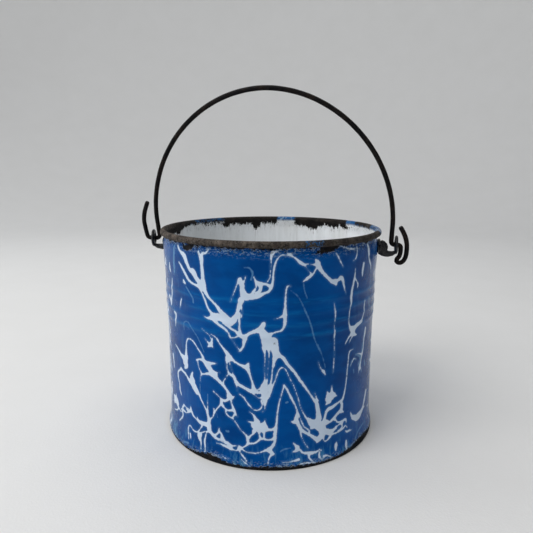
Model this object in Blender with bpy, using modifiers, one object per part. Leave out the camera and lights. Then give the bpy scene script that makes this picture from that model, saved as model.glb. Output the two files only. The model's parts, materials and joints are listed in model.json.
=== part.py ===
"""Milk pail: enamelled sheet-steel pail with a rolled rim, two riveted ears and a swinging wire bail."""

import math

import bmesh
import bpy

OBJECT_NAME = "milk_pail"
MM = 0.001

# Sheet-metal shell
SHEET = 0.7 * MM
GAP = 0.3 * MM
RIM_RADIUS = 70.0 * MM
PAIL_HEIGHT = 130.0 * MM
TURN_STEPS = 52

# Rolled rim with its stiffening wire
RIM_WIRE_RADIUS = 0.95 * MM
CURL_RADIUS = RIM_WIRE_RADIUS + GAP + SHEET / 2
BEAD_RADIUS = CURL_RADIUS + SHEET / 2
BEAD_CENTRE_RADIUS = RIM_RADIUS - BEAD_RADIUS
BEAD_CENTRE_HEIGHT = PAIL_HEIGHT - BEAD_RADIUS
CURL_END_DEG = -105.0
CURL_STEPS = 8

# Wall: outer radius against height, below the rim
WALL_FOOT_HEIGHT = 1.0 * MM
WALL_FOOT_RADIUS = 67.3 * MM
WALL_SHOULDER_RADIUS = 68.0 * MM
WALL_SHOULDER_HEIGHT = 121.5 * MM
LOWER_WALL = (
    (1.0, 67.3),
    (4.5, 67.3),
    (9.0, 66.9),
    (20.0, 66.5),
    (60.0, 66.5),
    (73.5, 66.5),
)
UPPER_WALL = (
    (104.5, 67.3),
    (110.0, 67.7),
    (116.0, 68.0),
    (121.5, 68.0),
)
RIB_COUNT = 4
RIB_FIRST_HEIGHT = 78.3 * MM
RIB_PITCH = 6.4 * MM
RIB_CREST_FIRST_RADIUS = 66.95 * MM
RIB_CREST_RADIUS = 67.35 * MM
RIB_GROOVE_FIRST_RADIUS = 66.65 * MM
RIB_GROOVE_RADIUS = 66.95 * MM
NECK_STEPS = 3
NECK_TOP_DROP = 1.6 * MM

# Bottom pan: a recessed disc whose edge folds into a channel round the wall
PAN_DISC_TOP = 5.0 * MM
PAN_LIP_OUTER = 68.3 * MM
PAN_LIP_HEIGHT = 4.0 * MM
PAN_RISER_OUTER = WALL_FOOT_RADIUS - SHEET - GAP
PAN_BEND = 0.45 * MM
PAN_BEND_STEPS = 2

# Bail pivot, ears and rivets
PIVOT_HEIGHT = 120.3 * MM
PAD_INNER = WALL_SHOULDER_RADIUS + GAP
PAD_THICKNESS = 1.3 * MM
PAD_OUTER = PAD_INNER + PAD_THICKNESS
PAD_HALF_WIDTH = 9.0 * MM
PAD_HALF_HEIGHT = 4.3 * MM
PAD_HEIGHT = PIVOT_HEIGHT - 0.8 * MM
PAD_OUTLINE_POINTS = 24
PAD_TURN_STEPS = 120
ROOT_THICKNESS = 4.0 * MM
ROOT_EDGE = 0.5 * MM
NECK_THICKNESS = 2.4 * MM
NECK_CLEAR_TOP = 3.75 * MM
NECK_BOTTOM = 8.0 * MM
EYE_OUTER = 5.8 * MM
EYE_INNER = 3.1 * MM
EYE_THICKNESS = 2.0 * MM
EYE_EDGE = 0.4 * MM
EYE_POINTS = 20
RIGHT_EYE_RADIUS = 78.95 * MM
RIGHT_EYE_YAW_DEG = 0.0
LEFT_EYE_RADIUS = 80.4 * MM
LEFT_EYE_YAW_DEG = 13.0
RIVET_OFFSET = 5.7 * MM
RIVET_SHANK_RADIUS = 1.2 * MM
RIVET_HOLE_RADIUS = RIVET_SHANK_RADIUS + GAP
RIVET_HEAD_RADIUS = 2.3 * MM
RIVET_HEAD_HEIGHT = 1.1 * MM
RIVET_SEAT_GAP = 0.35 * MM
RIVET_STEPS = 12
RIVET_HEAD_STEPS = 3

# Bail wire, drawn in its own plane: sideways distance and height above the pivot
BAIL_WIRE_RADIUS = 1.5 * MM
BAIL_LEAN_DEG = 14.0
ARCH_HALF_WIDTH = 76.2 * MM
ARCH_SPRING_HEIGHT = 13.5 * MM
ARCH_RISE = 80.5 * MM
ARCH_POWER = 1.95
ARCH_STEPS = 36
LEG_RADIUS = 76.0 * MM
HOOK_BEND = 2.2 * MM
HOOK_BEND_STEPS = 4
SPLINE_STEPS = 3
RIGHT_CROSSING_END = 80.0 * MM
RIGHT_DROP_BEND = 1.9 * MM
RIGHT_HOOK = (
    (81.9, -5.0),
    (81.4, -7.6),
    (80.2, -9.4),
    (80.0, -11.1),
    (81.7, -12.1),
    (83.8, -11.0),
    (85.2, -7.9),
    (85.6, -3.5),
    (85.4, 0.5),
    (84.5, 4.5),
    (82.9, 8.3),
    (80.9, 11.8),
)
LEFT_CROSSING_END = 82.7 * MM
LEFT_HOOK = (
    (85.4, 7.0),
    (85.6, 12.0),
    (84.7, 17.0),
    (83.0, 21.4),
    (81.2, 25.2),
)


def clear_scene():
    """Start from nothing."""
    for obj in list(bpy.data.objects):
        bpy.data.objects.remove(obj, do_unlink=True)
    for collection in list(bpy.data.collections):
        bpy.data.collections.remove(collection)


def make_collection(name):
    """A collection linked to the scene."""
    collection = bpy.data.collections.new(name)
    bpy.context.scene.collection.children.link(collection)
    return collection


def make_material(name, color, metallic, roughness):
    """A plain surface described by colour, metalness and roughness."""
    material = bpy.data.materials.new(name)
    material.use_nodes = True
    shader = material.node_tree.nodes["Principled BSDF"]
    shader.inputs["Base Color"].default_value = (color[0], color[1], color[2], 1.0)
    shader.inputs["Metallic"].default_value = metallic
    shader.inputs["Roughness"].default_value = roughness
    return material


def enamel_material(name):
    """Cobalt-blue vitreous enamel."""
    return make_material(name, (0.01, 0.07, 0.28), 0.0, 0.2)


def iron_material(name):
    """Bare dark iron."""
    return make_material(name, (0.06, 0.045, 0.035), 0.6, 0.6)


def black_enamel_material(name):
    """Black enamel of the ears and rivets."""
    return make_material(name, (0.01, 0.01, 0.012), 0.0, 0.35)


def bail_material(name):
    """Blackened steel wire."""
    return make_material(name, (0.02, 0.018, 0.018), 0.4, 0.45)


def link_object(name, data, collection, material):
    """Put one object with one material in a collection."""
    obj = bpy.data.objects.new(name, data)
    collection.objects.link(obj)
    if material is not None:
        data.materials.append(material)
    return obj


def smooth_round(mesh):
    """Shade round faces smooth and keep real edges sharp."""
    mesh.shade_smooth()
    mesh.set_sharp_from_angle(angle=math.radians(40.0))


def offset_line(points, distance):
    """The line shifted sideways to its right, mitred at its corners."""
    shifted = []
    last = len(points) - 1
    for index, point in enumerate(points):
        before = points[max(index - 1, 0)]
        after = points[min(index + 1, last)]
        normals = []
        for start, end in ((before, point), (point, after)):
            length = math.dist(start, end)
            if length > 0.0:
                normals.append(((end[1] - start[1]) / length, (start[0] - end[0]) / length))
        if len(normals) == 1:
            normals.append(normals[0])
        first, second = normals
        scale = distance / (1.0 + first[0] * second[0] + first[1] * second[1])
        shifted.append((
            point[0] + (first[0] + second[0]) * scale,
            point[1] + (first[1] + second[1]) * scale,
        ))
    return shifted


def arc(centre, radius, start_deg, end_deg, steps):
    """Points along a circular arc, both ends included."""
    points = []
    for index in range(steps + 1):
        angle = math.radians(start_deg + (end_deg - start_deg) * index / steps)
        points.append((centre[0] + radius * math.cos(angle), centre[1] + radius * math.sin(angle)))
    return points


def turned_solid(name, profile, closed, steps, collection, material):
    """Turn a profile of (radius, height) points about the upright axis."""
    mesh = bpy.data.meshes.new(name)
    vertices = [(radius, 0.0, height) for radius, height in profile]
    edges = [(index, index + 1) for index in range(len(profile) - 1)]
    if closed:
        edges.append((len(profile) - 1, 0))
    mesh.from_pydata(vertices, edges, [])
    obj = link_object(name, mesh, collection, material)
    screw = obj.modifiers.new("turn", "SCREW")
    screw.axis = "Z"
    screw.angle = math.radians(360.0)
    screw.steps = steps
    screw.render_steps = steps
    screw.use_merge_vertices = True
    screw.merge_threshold = 0.00001
    screw.use_smooth_shade = True
    return obj


def flat_curve(name, outlines, half_thickness, edge, collection):
    """A closed flat shape with thickness and rounded edges, as a mesh."""
    curve = bpy.data.curves.new(name, "CURVE")
    curve.dimensions = "2D"
    curve.fill_mode = "BOTH"
    curve.extrude = half_thickness - edge
    curve.bevel_depth = edge
    curve.bevel_resolution = 1
    for outline in outlines:
        spline = curve.splines.new("POLY")
        spline.points.add(len(outline) - 1)
        for point, position in zip(spline.points, outline):
            point.co = (position[0], position[1], 0.0, 1.0)
        spline.use_cyclic_u = True
    holder = bpy.data.objects.new(name, curve)
    collection.objects.link(holder)
    mesh = curve_to_mesh(holder)
    return link_object(name, mesh, collection, None)


def curve_to_mesh(holder):
    """Replace a curve object by a closed mesh."""
    evaluated = holder.evaluated_get(bpy.context.evaluated_depsgraph_get())
    mesh = bpy.data.meshes.new_from_object(evaluated)
    bpy.data.objects.remove(holder, do_unlink=True)
    shape = bmesh.new()
    shape.from_mesh(mesh)
    bmesh.ops.remove_doubles(shape, verts=shape.verts, dist=0.000001)
    shape.to_mesh(mesh)
    shape.free()
    return mesh


def hide_cutter(obj):
    """Keep a helper solid out of sight."""
    obj.hide_render = True
    obj.display_type = "WIRE"


def add_boolean(obj, operand, operation):
    """Combine an object with a helper solid."""
    modifier = obj.modifiers.new(operation.lower() + "_" + operand.name, "BOOLEAN")
    modifier.operation = operation
    modifier.solver = "EXACT"
    modifier.object = operand


def rib_points():
    """Outer wall points over the swaged ribs, from the lowest crest upward."""
    points = []
    for index in range(RIB_COUNT):
        crest = RIB_CREST_FIRST_RADIUS if index == 0 else RIB_CREST_RADIUS
        groove = RIB_GROOVE_FIRST_RADIUS if index == 0 else RIB_GROOVE_RADIUS
        height = RIB_FIRST_HEIGHT + RIB_PITCH * index
        points.append((crest, height))
        points.append((groove, height + RIB_PITCH / 2))
    return points


def wall_midline():
    """Middle of the sheet from the foot of the wall to the end of the rim curl."""
    half = SHEET / 2
    line = [(radius * MM - half, height * MM) for height, radius in LOWER_WALL]
    line += [(radius - half, height) for radius, height in rib_points()]
    line += [(radius * MM - half, height * MM) for height, radius in UPPER_WALL]
    start = WALL_SHOULDER_RADIUS - half
    end = BEAD_CENTRE_RADIUS - CURL_RADIUS
    top = BEAD_CENTRE_HEIGHT - NECK_TOP_DROP
    for index in range(1, NECK_STEPS + 1):
        share = index / NECK_STEPS
        ease = 0.5 - 0.5 * math.cos(math.pi * share)
        line.append((start + (end - start) * ease, WALL_SHOULDER_HEIGHT + (top - WALL_SHOULDER_HEIGHT) * share))
    centre = (BEAD_CENTRE_RADIUS, BEAD_CENTRE_HEIGHT)
    line += arc(centre, CURL_RADIUS, 180.0, CURL_END_DEG, CURL_STEPS)
    return line


def build_body_wall(collection, material, hole_cutters):
    """Pail wall with ribs, rolled rim and holes for the ear rivets."""
    line = wall_midline()
    outside = offset_line(line, SHEET / 2)
    inside = offset_line(line, -SHEET / 2)
    profile = outside[::-1] + inside
    wall = turned_solid("body_wall", profile, True, TURN_STEPS, collection, material)
    for cutter in hole_cutters:
        add_boolean(wall, cutter, "DIFFERENCE")
    return wall


def build_rim_wire(collection, material):
    """Stiffening wire closed inside the rolled rim."""
    centre = (BEAD_CENTRE_RADIUS, BEAD_CENTRE_HEIGHT)
    profile = arc(centre, RIM_WIRE_RADIUS, 90.0, -270.0, 6)[:-1]
    return turned_solid("rim_wire", profile, True, TURN_STEPS, collection, material)


def pan_midline():
    """Middle of the pan sheet from the centre of the disc to the top of the outer lip."""
    half = SHEET / 2
    riser = PAN_RISER_OUTER - half
    lip = PAN_LIP_OUTER - half
    disc = PAN_DISC_TOP - half
    line = [(0.0, disc)]
    line += arc((riser - PAN_BEND, disc - PAN_BEND), PAN_BEND, 90.0, 0.0, PAN_BEND_STEPS)
    line += arc((riser + PAN_BEND, half + PAN_BEND), PAN_BEND, 180.0, 270.0, PAN_BEND_STEPS)
    line += arc((lip - PAN_BEND, half + PAN_BEND), PAN_BEND, 270.0, 360.0, PAN_BEND_STEPS)
    line.append((lip, PAN_LIP_HEIGHT))
    return line


def build_bottom_pan(collection, material):
    """Recessed bottom with its folded channel; it stands on a narrow flat ring."""
    line = pan_midline()
    upper = offset_line(line, -SHEET / 2)
    lower = offset_line(line, SHEET / 2)
    profile = upper + lower[::-1]
    return turned_solid("bottom_pan", profile, False, TURN_STEPS, collection, material)


def ellipse(half_width, half_height, count):
    """Closed outline of an ellipse."""
    points = []
    for index in range(count):
        angle = math.radians(360.0 * index / count)
        points.append((half_width * math.cos(angle), half_height * math.sin(angle)))
    return points


def neck_outline(eye_radius):
    """Side view of the ear neck: distance from the pail axis, height above the pivot."""
    root = PAD_INNER + PAD_THICKNESS / 2
    return [
        (root, 2.2 * MM),
        (root + 2.4 * MM, 1.4 * MM),
        (root + 4.6 * MM, -1.8 * MM),
        (root + 5.8 * MM, -NECK_CLEAR_TOP),
        (eye_radius - 0.2 * MM, -NECK_CLEAR_TOP),
        (eye_radius - 0.2 * MM, -NECK_BOTTOM + 2.7 * MM),
        (eye_radius - 2.2 * MM, -NECK_BOTTOM + 0.8 * MM),
        (root + 5.0 * MM, -NECK_BOTTOM),
        (root + 2.0 * MM, -NECK_BOTTOM + 0.9 * MM),
        (root, -NECK_CLEAR_TOP),
    ]


def root_outline():
    """Side view of the thick root of the ear, between the pad and the wire's leg."""
    root = PAD_INNER + PAD_THICKNESS / 2
    return [
        (root + 0.1 * MM, 2.7 * MM),
        (root + 1.4 * MM, 2.5 * MM),
        (root + 3.1 * MM, 0.8 * MM),
        (root + 4.2 * MM, -1.8 * MM),
        (root + 4.4 * MM, -5.0 * MM),
        (root + 3.4 * MM, -NECK_BOTTOM + 1.7 * MM),
        (root + 1.7 * MM, -NECK_BOTTOM + 3.0 * MM),
        (root + 0.1 * MM, -3.5 * MM),
    ]


def build_ear(name, turn_deg, eye_radius, eye_yaw_deg, hole_cutters, collection, cutters, material):
    """One bail ear: curved pad on the wall, upright neck fin, eye for the bail wire."""
    turn = math.radians(turn_deg)
    low = PAD_HEIGHT - 2 * PAD_HALF_HEIGHT
    high = PAD_HEIGHT + 2 * PAD_HALF_HEIGHT
    ring = [(PAD_OUTER, high), (PAD_OUTER, low), (PAD_INNER, low), (PAD_INNER, high)]
    ear = turned_solid(name, ring, True, PAD_TURN_STEPS, collection, material)
    ear.rotation_euler = (0.0, 0.0, turn)

    outline = ellipse(PAD_HALF_WIDTH, PAD_HALF_HEIGHT, PAD_OUTLINE_POINTS)
    pad = flat_curve(name + "_pad_outline", [outline], 5.0 * MM, 0.0, cutters)
    pad.parent = ear
    pad.location = (PAD_INNER, 0.0, PAD_HEIGHT)
    pad.rotation_euler = (math.radians(90.0), 0.0, math.radians(90.0))
    add_boolean(ear, pad, "INTERSECT")

    neck = flat_curve(name + "_neck", [neck_outline(eye_radius)], NECK_THICKNESS / 2, 0.0, cutters)
    neck.parent = ear
    neck.location = (0.0, 0.0, PIVOT_HEIGHT)
    neck.rotation_euler = (math.radians(90.0), 0.0, 0.0)
    add_boolean(ear, neck, "UNION")

    root = flat_curve(name + "_root", [root_outline()], ROOT_THICKNESS / 2, ROOT_EDGE, cutters)
    root.parent = ear
    root.location = (0.0, 0.0, PIVOT_HEIGHT)
    root.rotation_euler = (math.radians(90.0), 0.0, 0.0)
    add_boolean(ear, root, "UNION")

    rim = ellipse(EYE_OUTER - EYE_EDGE, EYE_OUTER - EYE_EDGE, EYE_POINTS)
    hole = ellipse(EYE_INNER + EYE_EDGE, EYE_INNER + EYE_EDGE, EYE_POINTS)
    eye = flat_curve(name + "_eye", [rim, hole], EYE_THICKNESS / 2, EYE_EDGE, cutters)
    eye.parent = ear
    eye.location = (eye_radius, 0.0, PIVOT_HEIGHT)
    eye.rotation_euler = (math.radians(90.0), 0.0, math.radians(90.0 + eye_yaw_deg))
    add_boolean(ear, eye, "UNION")

    for cutter in hole_cutters:
        add_boolean(ear, cutter, "DIFFERENCE")
    for helper in (pad, neck, root, eye):
        hide_cutter(helper)
    return ear


def place_on_wall(obj, azimuth_deg, height):
    """Stand an object's upright axis along the outward direction of the wall."""
    obj.location = (0.0, 0.0, height)
    obj.rotation_euler = (0.0, math.radians(90.0), math.radians(azimuth_deg))


def build_hole_cutter(name, azimuth_deg, cutters):
    """Round hole through ear pad and wall."""
    inner = WALL_SHOULDER_RADIUS - 3.0 * MM
    outer = PAD_OUTER + 2.0 * MM
    profile = [(0.0, outer), (RIVET_HOLE_RADIUS, outer), (RIVET_HOLE_RADIUS, inner), (0.0, inner)]
    cutter = turned_solid(name, profile, False, RIVET_STEPS, cutters, None)
    place_on_wall(cutter, azimuth_deg, PAD_HEIGHT)
    hide_cutter(cutter)
    return cutter


def build_rivet(name, azimuth_deg, collection, material):
    """Rivet with a domed head outside the ear pad and one inside the wall."""
    outer_seat = PAD_OUTER + RIVET_SEAT_GAP
    inner_seat = WALL_SHOULDER_RADIUS - SHEET - RIVET_SEAT_GAP
    profile = []
    for index in range(RIVET_HEAD_STEPS):
        angle = math.radians(90.0 - 90.0 * index / RIVET_HEAD_STEPS)
        profile.append((RIVET_HEAD_RADIUS * math.cos(angle), outer_seat + RIVET_HEAD_HEIGHT * math.sin(angle)))
    profile.append((RIVET_HEAD_RADIUS, outer_seat))
    profile.append((RIVET_SHANK_RADIUS, outer_seat))
    profile.append((RIVET_SHANK_RADIUS, inner_seat))
    profile.append((RIVET_HEAD_RADIUS, inner_seat))
    for index in range(1, RIVET_HEAD_STEPS + 1):
        angle = math.radians(90.0 * index / RIVET_HEAD_STEPS)
        profile.append((RIVET_HEAD_RADIUS * math.cos(angle), inner_seat - RIVET_HEAD_HEIGHT * math.sin(angle)))
    profile[0] = (0.0, profile[0][1])
    profile[-1] = (0.0, profile[-1][1])
    rivet = turned_solid(name, profile, False, RIVET_STEPS, collection, material)
    place_on_wall(rivet, azimuth_deg, PAD_HEIGHT)
    return rivet


def smooth_path(points, steps):
    """A curve that passes through every point, without the first one."""
    padded = [points[0]] + list(points) + [points[-1]]
    path = []
    for index in range(1, len(padded) - 2):
        before, start, end, after = padded[index - 1:index + 3]
        for step in range(1, steps + 1):
            share = step / steps
            position = []
            for axis in range(2):
                linear = end[axis] - before[axis]
                square = 2 * before[axis] - 5 * start[axis] + 4 * end[axis] - after[axis]
                cubic = 3 * start[axis] - before[axis] - 3 * end[axis] + after[axis]
                value = linear * share + square * share ** 2 + cubic * share ** 3
                position.append(start[axis] + value / 2)
            path.append(tuple(position))
    return path


def arch_path():
    """The arch from the left leg over the top to the right leg."""
    path = []
    for index in range(ARCH_STEPS + 1):
        angle = math.pi - math.pi * index / ARCH_STEPS
        side = math.copysign(abs(math.cos(angle)) ** (2 / ARCH_POWER), math.cos(angle))
        lift = abs(math.sin(angle)) ** (2 / ARCH_POWER)
        path.append((ARCH_HALF_WIDTH * side, ARCH_SPRING_HEIGHT + ARCH_RISE * lift))
    return path


def right_hook_path():
    """Right end: through the eye, a hanging loop outside it, free end pointing up."""
    path = arc((LEG_RADIUS + HOOK_BEND, HOOK_BEND), HOOK_BEND, 180.0, 270.0, HOOK_BEND_STEPS)
    drop = (RIGHT_CROSSING_END, -RIGHT_DROP_BEND)
    path += arc(drop, RIGHT_DROP_BEND, 90.0, 0.0, HOOK_BEND_STEPS)
    keys = [path[-1]] + [(side * MM, lift * MM) for side, lift in RIGHT_HOOK]
    return path + smooth_path(keys, SPLINE_STEPS)


def left_hook_path():
    """Left end: through the eye, then a long free end pointing up."""
    path = arc((LEG_RADIUS + HOOK_BEND, HOOK_BEND), HOOK_BEND, 180.0, 270.0, HOOK_BEND_STEPS)
    rise = (LEFT_CROSSING_END, HOOK_BEND)
    path += arc(rise, HOOK_BEND, 270.0, 360.0, HOOK_BEND_STEPS)
    keys = [path[-1]] + [(side * MM, lift * MM) for side, lift in LEFT_HOOK]
    return path + smooth_path(keys, SPLINE_STEPS)


def build_bail_wire(collection, material):
    """One bent wire: arch, two legs and a hook at each end; its origin is on the swing axis."""
    left = [(-side, lift) for side, lift in left_hook_path()]
    path = left[::-1] + arch_path() + right_hook_path()
    curve = bpy.data.curves.new("bail_wire_path", "CURVE")
    curve.dimensions = "3D"
    curve.fill_mode = "FULL"
    curve.bevel_depth = BAIL_WIRE_RADIUS
    curve.bevel_resolution = 2
    curve.use_fill_caps = True
    spline = curve.splines.new("POLY")
    spline.points.add(len(path) - 1)
    for point, (side, lift) in zip(spline.points, path):
        point.co = (side, 0.0, lift, 1.0)
    holder = bpy.data.objects.new("bail_wire_path", curve)
    collection.objects.link(holder)
    mesh = curve_to_mesh(holder)
    smooth_round(mesh)
    bail = link_object("bail_wire", mesh, collection, material)
    bail.location = (0.0, 0.0, PIVOT_HEIGHT)
    bail.rotation_euler = (math.radians(BAIL_LEAN_DEG), 0.0, 0.0)
    return bail


def main():
    """Build the whole pail."""
    clear_scene()
    parts = make_collection(OBJECT_NAME)
    cutters = make_collection(OBJECT_NAME + "_cutters")
    rivet_deg = math.degrees(math.asin(RIVET_OFFSET / PAD_OUTER))
    right_holes = []
    left_holes = []
    for side, azimuth in (("front", -rivet_deg), ("back", rivet_deg)):
        right_holes.append(build_hole_cutter("right_hole_" + side, azimuth, cutters))
        left_holes.append(build_hole_cutter("left_hole_" + side, 180.0 - azimuth, cutters))
        build_rivet("right_rivet_" + side, azimuth, parts, black_enamel_material("right_rivet_" + side))
        build_rivet("left_rivet_" + side, 180.0 - azimuth, parts, black_enamel_material("left_rivet_" + side))
    build_body_wall(parts, enamel_material("wall_enamel"), right_holes + left_holes)
    build_bottom_pan(parts, enamel_material("pan_enamel"))
    build_rim_wire(parts, iron_material("rim_iron"))
    build_ear("right_ear", 0.0, RIGHT_EYE_RADIUS, RIGHT_EYE_YAW_DEG, right_holes, parts, cutters,
              black_enamel_material("right_ear_enamel"))
    build_ear("left_ear", 180.0, LEFT_EYE_RADIUS, LEFT_EYE_YAW_DEG, left_holes, parts, cutters,
              black_enamel_material("left_ear_enamel"))
    build_bail_wire(parts, bail_material("bail_black"))


main()
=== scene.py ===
"""Milk pail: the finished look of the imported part, with studio floor, light and camera."""

import json
import math

import bmesh
import bpy
import numpy as np
from mathutils import Matrix, Vector


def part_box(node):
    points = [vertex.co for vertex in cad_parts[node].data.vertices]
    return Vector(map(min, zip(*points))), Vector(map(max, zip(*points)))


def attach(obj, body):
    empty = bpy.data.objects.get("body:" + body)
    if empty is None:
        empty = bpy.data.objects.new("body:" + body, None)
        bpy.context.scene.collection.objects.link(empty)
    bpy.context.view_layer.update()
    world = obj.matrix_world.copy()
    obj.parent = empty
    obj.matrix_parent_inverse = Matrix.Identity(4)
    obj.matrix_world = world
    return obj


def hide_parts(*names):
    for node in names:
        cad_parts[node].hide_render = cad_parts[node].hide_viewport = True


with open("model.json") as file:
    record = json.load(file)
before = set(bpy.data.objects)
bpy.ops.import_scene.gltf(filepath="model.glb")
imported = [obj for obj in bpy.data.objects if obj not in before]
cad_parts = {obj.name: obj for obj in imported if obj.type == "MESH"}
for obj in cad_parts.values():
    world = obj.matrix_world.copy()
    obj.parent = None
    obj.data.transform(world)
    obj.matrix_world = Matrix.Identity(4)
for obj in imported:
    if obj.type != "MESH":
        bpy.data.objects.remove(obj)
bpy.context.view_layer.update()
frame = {"nodes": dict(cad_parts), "record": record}

MM = 0.001

# Camera: where the viewer stands, and which way the pail faces it
VIEW_TURN_DEG = 10.7
VIEW_DISTANCE = 320.0 * MM
VIEW_HEIGHT = 166.4 * MM
VIEW_PITCH_DEG = 11.12
VIEW_YAW_DEG = -0.45
VIEW_ROLL_DEG = 0.09
VIEW_LENS = 33.65
FRONT_DEG = VIEW_TURN_DEG - 90.0

# Light: name, place, target, size in m, power in W, colour; all turned with the camera
LIGHTS = (
    ("key", (-0.75, -0.6, 1.0), (0.0, 0.0, 0.1), (0.8, 0.8), 9.2, (1.0, 0.98, 0.95)),
    ("side", (-1.2, 0.35, 0.75), (0.0, 0.0, 0.1), (0.6, 0.7), 3.2, (0.95, 0.98, 1.0)),
    ("overhead", (0.0, 0.1, 1.2), (0.0, 0.0, 0.0), (1.2, 1.2), 5.2, (1.0, 1.0, 1.0)),
    ("backdrop", (0.0, 0.7, 1.1), (0.0, 1.6, 0.5), (1.6, 0.5), 2.6, (0.97, 0.98, 1.0)),
)
SKY_COLOR = (0.88, 0.92, 1.0, 1.0)
SKY_STRENGTH = 0.22

# Studio floor: radius, the curve that lifts its edge, and the top of the low wall, in mm
FLOOR_REACH = 1900.0
FLOOR_CURVE = 800.0
FLOOR_TOP = 1700.0

# Sheet-metal shell in mm: radii from the upright axis, heights from the table; profile rows are
# (height, radius) for the wall and (radius, height) for the foot's fold
SHEET = 0.7
RIM_RADIUS = 70.0
RIM_HEIGHT = 130.0
ROLL_RADIUS = 1.95
BEAD_RADIUS = 1.90
FOOT_LIFT = 0.12
FOOT_INNER_EDGE = 66.45
FOOT_FLAT_START = 66.7
FOOT_FLAT_END = 67.5
FOOT_BEND = 0.75
FOOT_FOLD = ((68.25, 1.6), (68.15, 2.6), (67.95, 3.8), (67.6, 5.2), (67.25, 6.8), (67.0, 8.2))
WALL_PROFILE = (
    (9.5, 66.9), (14.0, 66.6), (20.0, 66.5), (45.0, 66.45), (70.0, 66.5), (76.0, 66.7), (82.0, 66.95),
    (90.0, 67.05), (98.0, 67.05), (104.5, 67.3), (110.0, 67.7), (116.0, 67.95), (121.5, 68.0),
)
RIB_HEIGHTS = (78.3, 84.7, 91.1, 97.5)
RIB_SWELL = 0.28
RIB_HALF = 3.0
SHOULDER_RADIUS = 68.0
NECK_START = 121.5
NECK_TOP = 126.4
NECK_RADIUS = 66.85
NECK_DROP = 6.5
DISC_TOP = 5.0
DISC_BOTTOM = 4.3
DISC_FILLET_CENTRE = (64.9, 6.2)
DISC_FILLET = 1.2
RISER_INNER = 65.6
RISER_BEND_CENTRE = (66.25, 0.85)
RISER_BEND = 0.65
RISER_FILLET = 1.0

# Fineness of the meshes: columns round the pail and steps along the profiles in mm
FRONT_COLUMNS = 372
BACK_COLUMNS = 300
LINING_COLUMNS = 420
UNDERSIDE_COLUMNS = 256
FLOOR_COLUMNS = 128
SKIN_STEP = 0.52
BEAD_STEP = 0.5
UNDERSIDE_STEP = 1.3
EASE_STEPS = 8

# Ears: sizes in mm; rows of neck and root block are distance out, drop below the pivot, half width and
# half height
PAD_INNER = 68.3
PAD_THICKNESS = 1.3
PAD_HALF_WIDTH = 8.9
PAD_HALF_HEIGHT = 4.2
PAD_DROP = 0.8
PAD_COLUMNS = 72
PAD_SHARES = (0.0, 0.3, 0.55, 0.75, 0.88, 0.96, 1.0)
EYE_OUTER = 5.8
EYE_INNER = 3.1
EYE_HALF_DEPTH = 0.98
EYE_STEPS = 64
EYE_SIDES = 20
EYE_MARGIN = 0.12
ROOT_OUT = 0.6
BAR_SIDES = 24
NECK_FROM_ROOT = (
    (0.0, 2.4, 1.3, 2.5),
    (1.6, 3.6, 1.3, 3.2),
    (3.2, 4.9, 1.25, 2.8),
    (4.6, 5.7, 1.15, 2.15),
    (5.6, 5.8, 1.15, 1.95),
)
NECK_FROM_EYE = ((-2.2, 5.5, 1.15, 1.55), (-0.9, 4.9, 1.1, 1.2), (0.0, 4.6, 1.0, 0.9))
ROOT_BLOCK = (
    (-0.4, 0.6, 1.95, 3.9),
    (0.8, 1.2, 1.95, 4.1),
    (2.2, 2.4, 1.95, 3.9),
    (3.4, 3.4, 1.9, 3.1),
    (4.2, 4.0, 1.6, 2.1),
    (4.6, 4.2, 0.8, 1.0),
)
MELT_VOXEL = 0.16
MELT_SMOOTHING = 6

# Rivets: sizes in mm, seats as distances from the upright axis
RIVET_RADIUS = 2.25
RIVET_SHANK = 1.2
RIVET_OUTER_DOME = 1.35
RIVET_INNER_DOME = 1.2
RIVET_OUTER_SEAT = 69.45
RIVET_SHANK_OUTER = 69.4
RIVET_INNER_SEAT = 67.4
RIVET_SIDES = 32
DOME_STEPS = 8
DOME_POWER = 0.9

# Net of veins beyond the listed strokes: sizes in mm, larger cells towards the rim
NET_BOTTOM = -8.0
NET_TOP = 140.0
NET_CELL_WIDTH = 9.5
NET_CELL_GROWTH = 7.5
NET_ROW_STEP = 9.0
NET_OVERLAP = 100.0
NET_LEAN = 0.5
NET_SQUEEZE = 0.55
NET_SOFTNESS = 0.55
NET_NEIGHBOURS = 5
NET_CHUNK = 20000
NET_FAR = 50.0
NET_HALF_WIDTH = 0.32
NET_WIDTH_RANGE = (-0.7, 1.5)
RANDOM_SEED = 7

# Enamel of the outside: the strokes reach this far round from the front, the net takes over beyond; in mm,
# how far fields are followed and how softly they join, relief, and where enamel frays at rim and foot
FRONT_REACH_DEG = 68.0
FRONT_BLEND_DEG = 5.0
FIELD_REACH = 6.0
FIELD_BLEND = 0.32
CHIP_DEPTH = 0.12
VEIN_RELIEF = 0.02
ENAMEL_TOP = 125.6
FRAY_BELOW_RIM = 6.5
FRAY_ABOVE_FOOT = 4.0
HAZE_ABOVE_FOOT = 16.0

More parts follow.
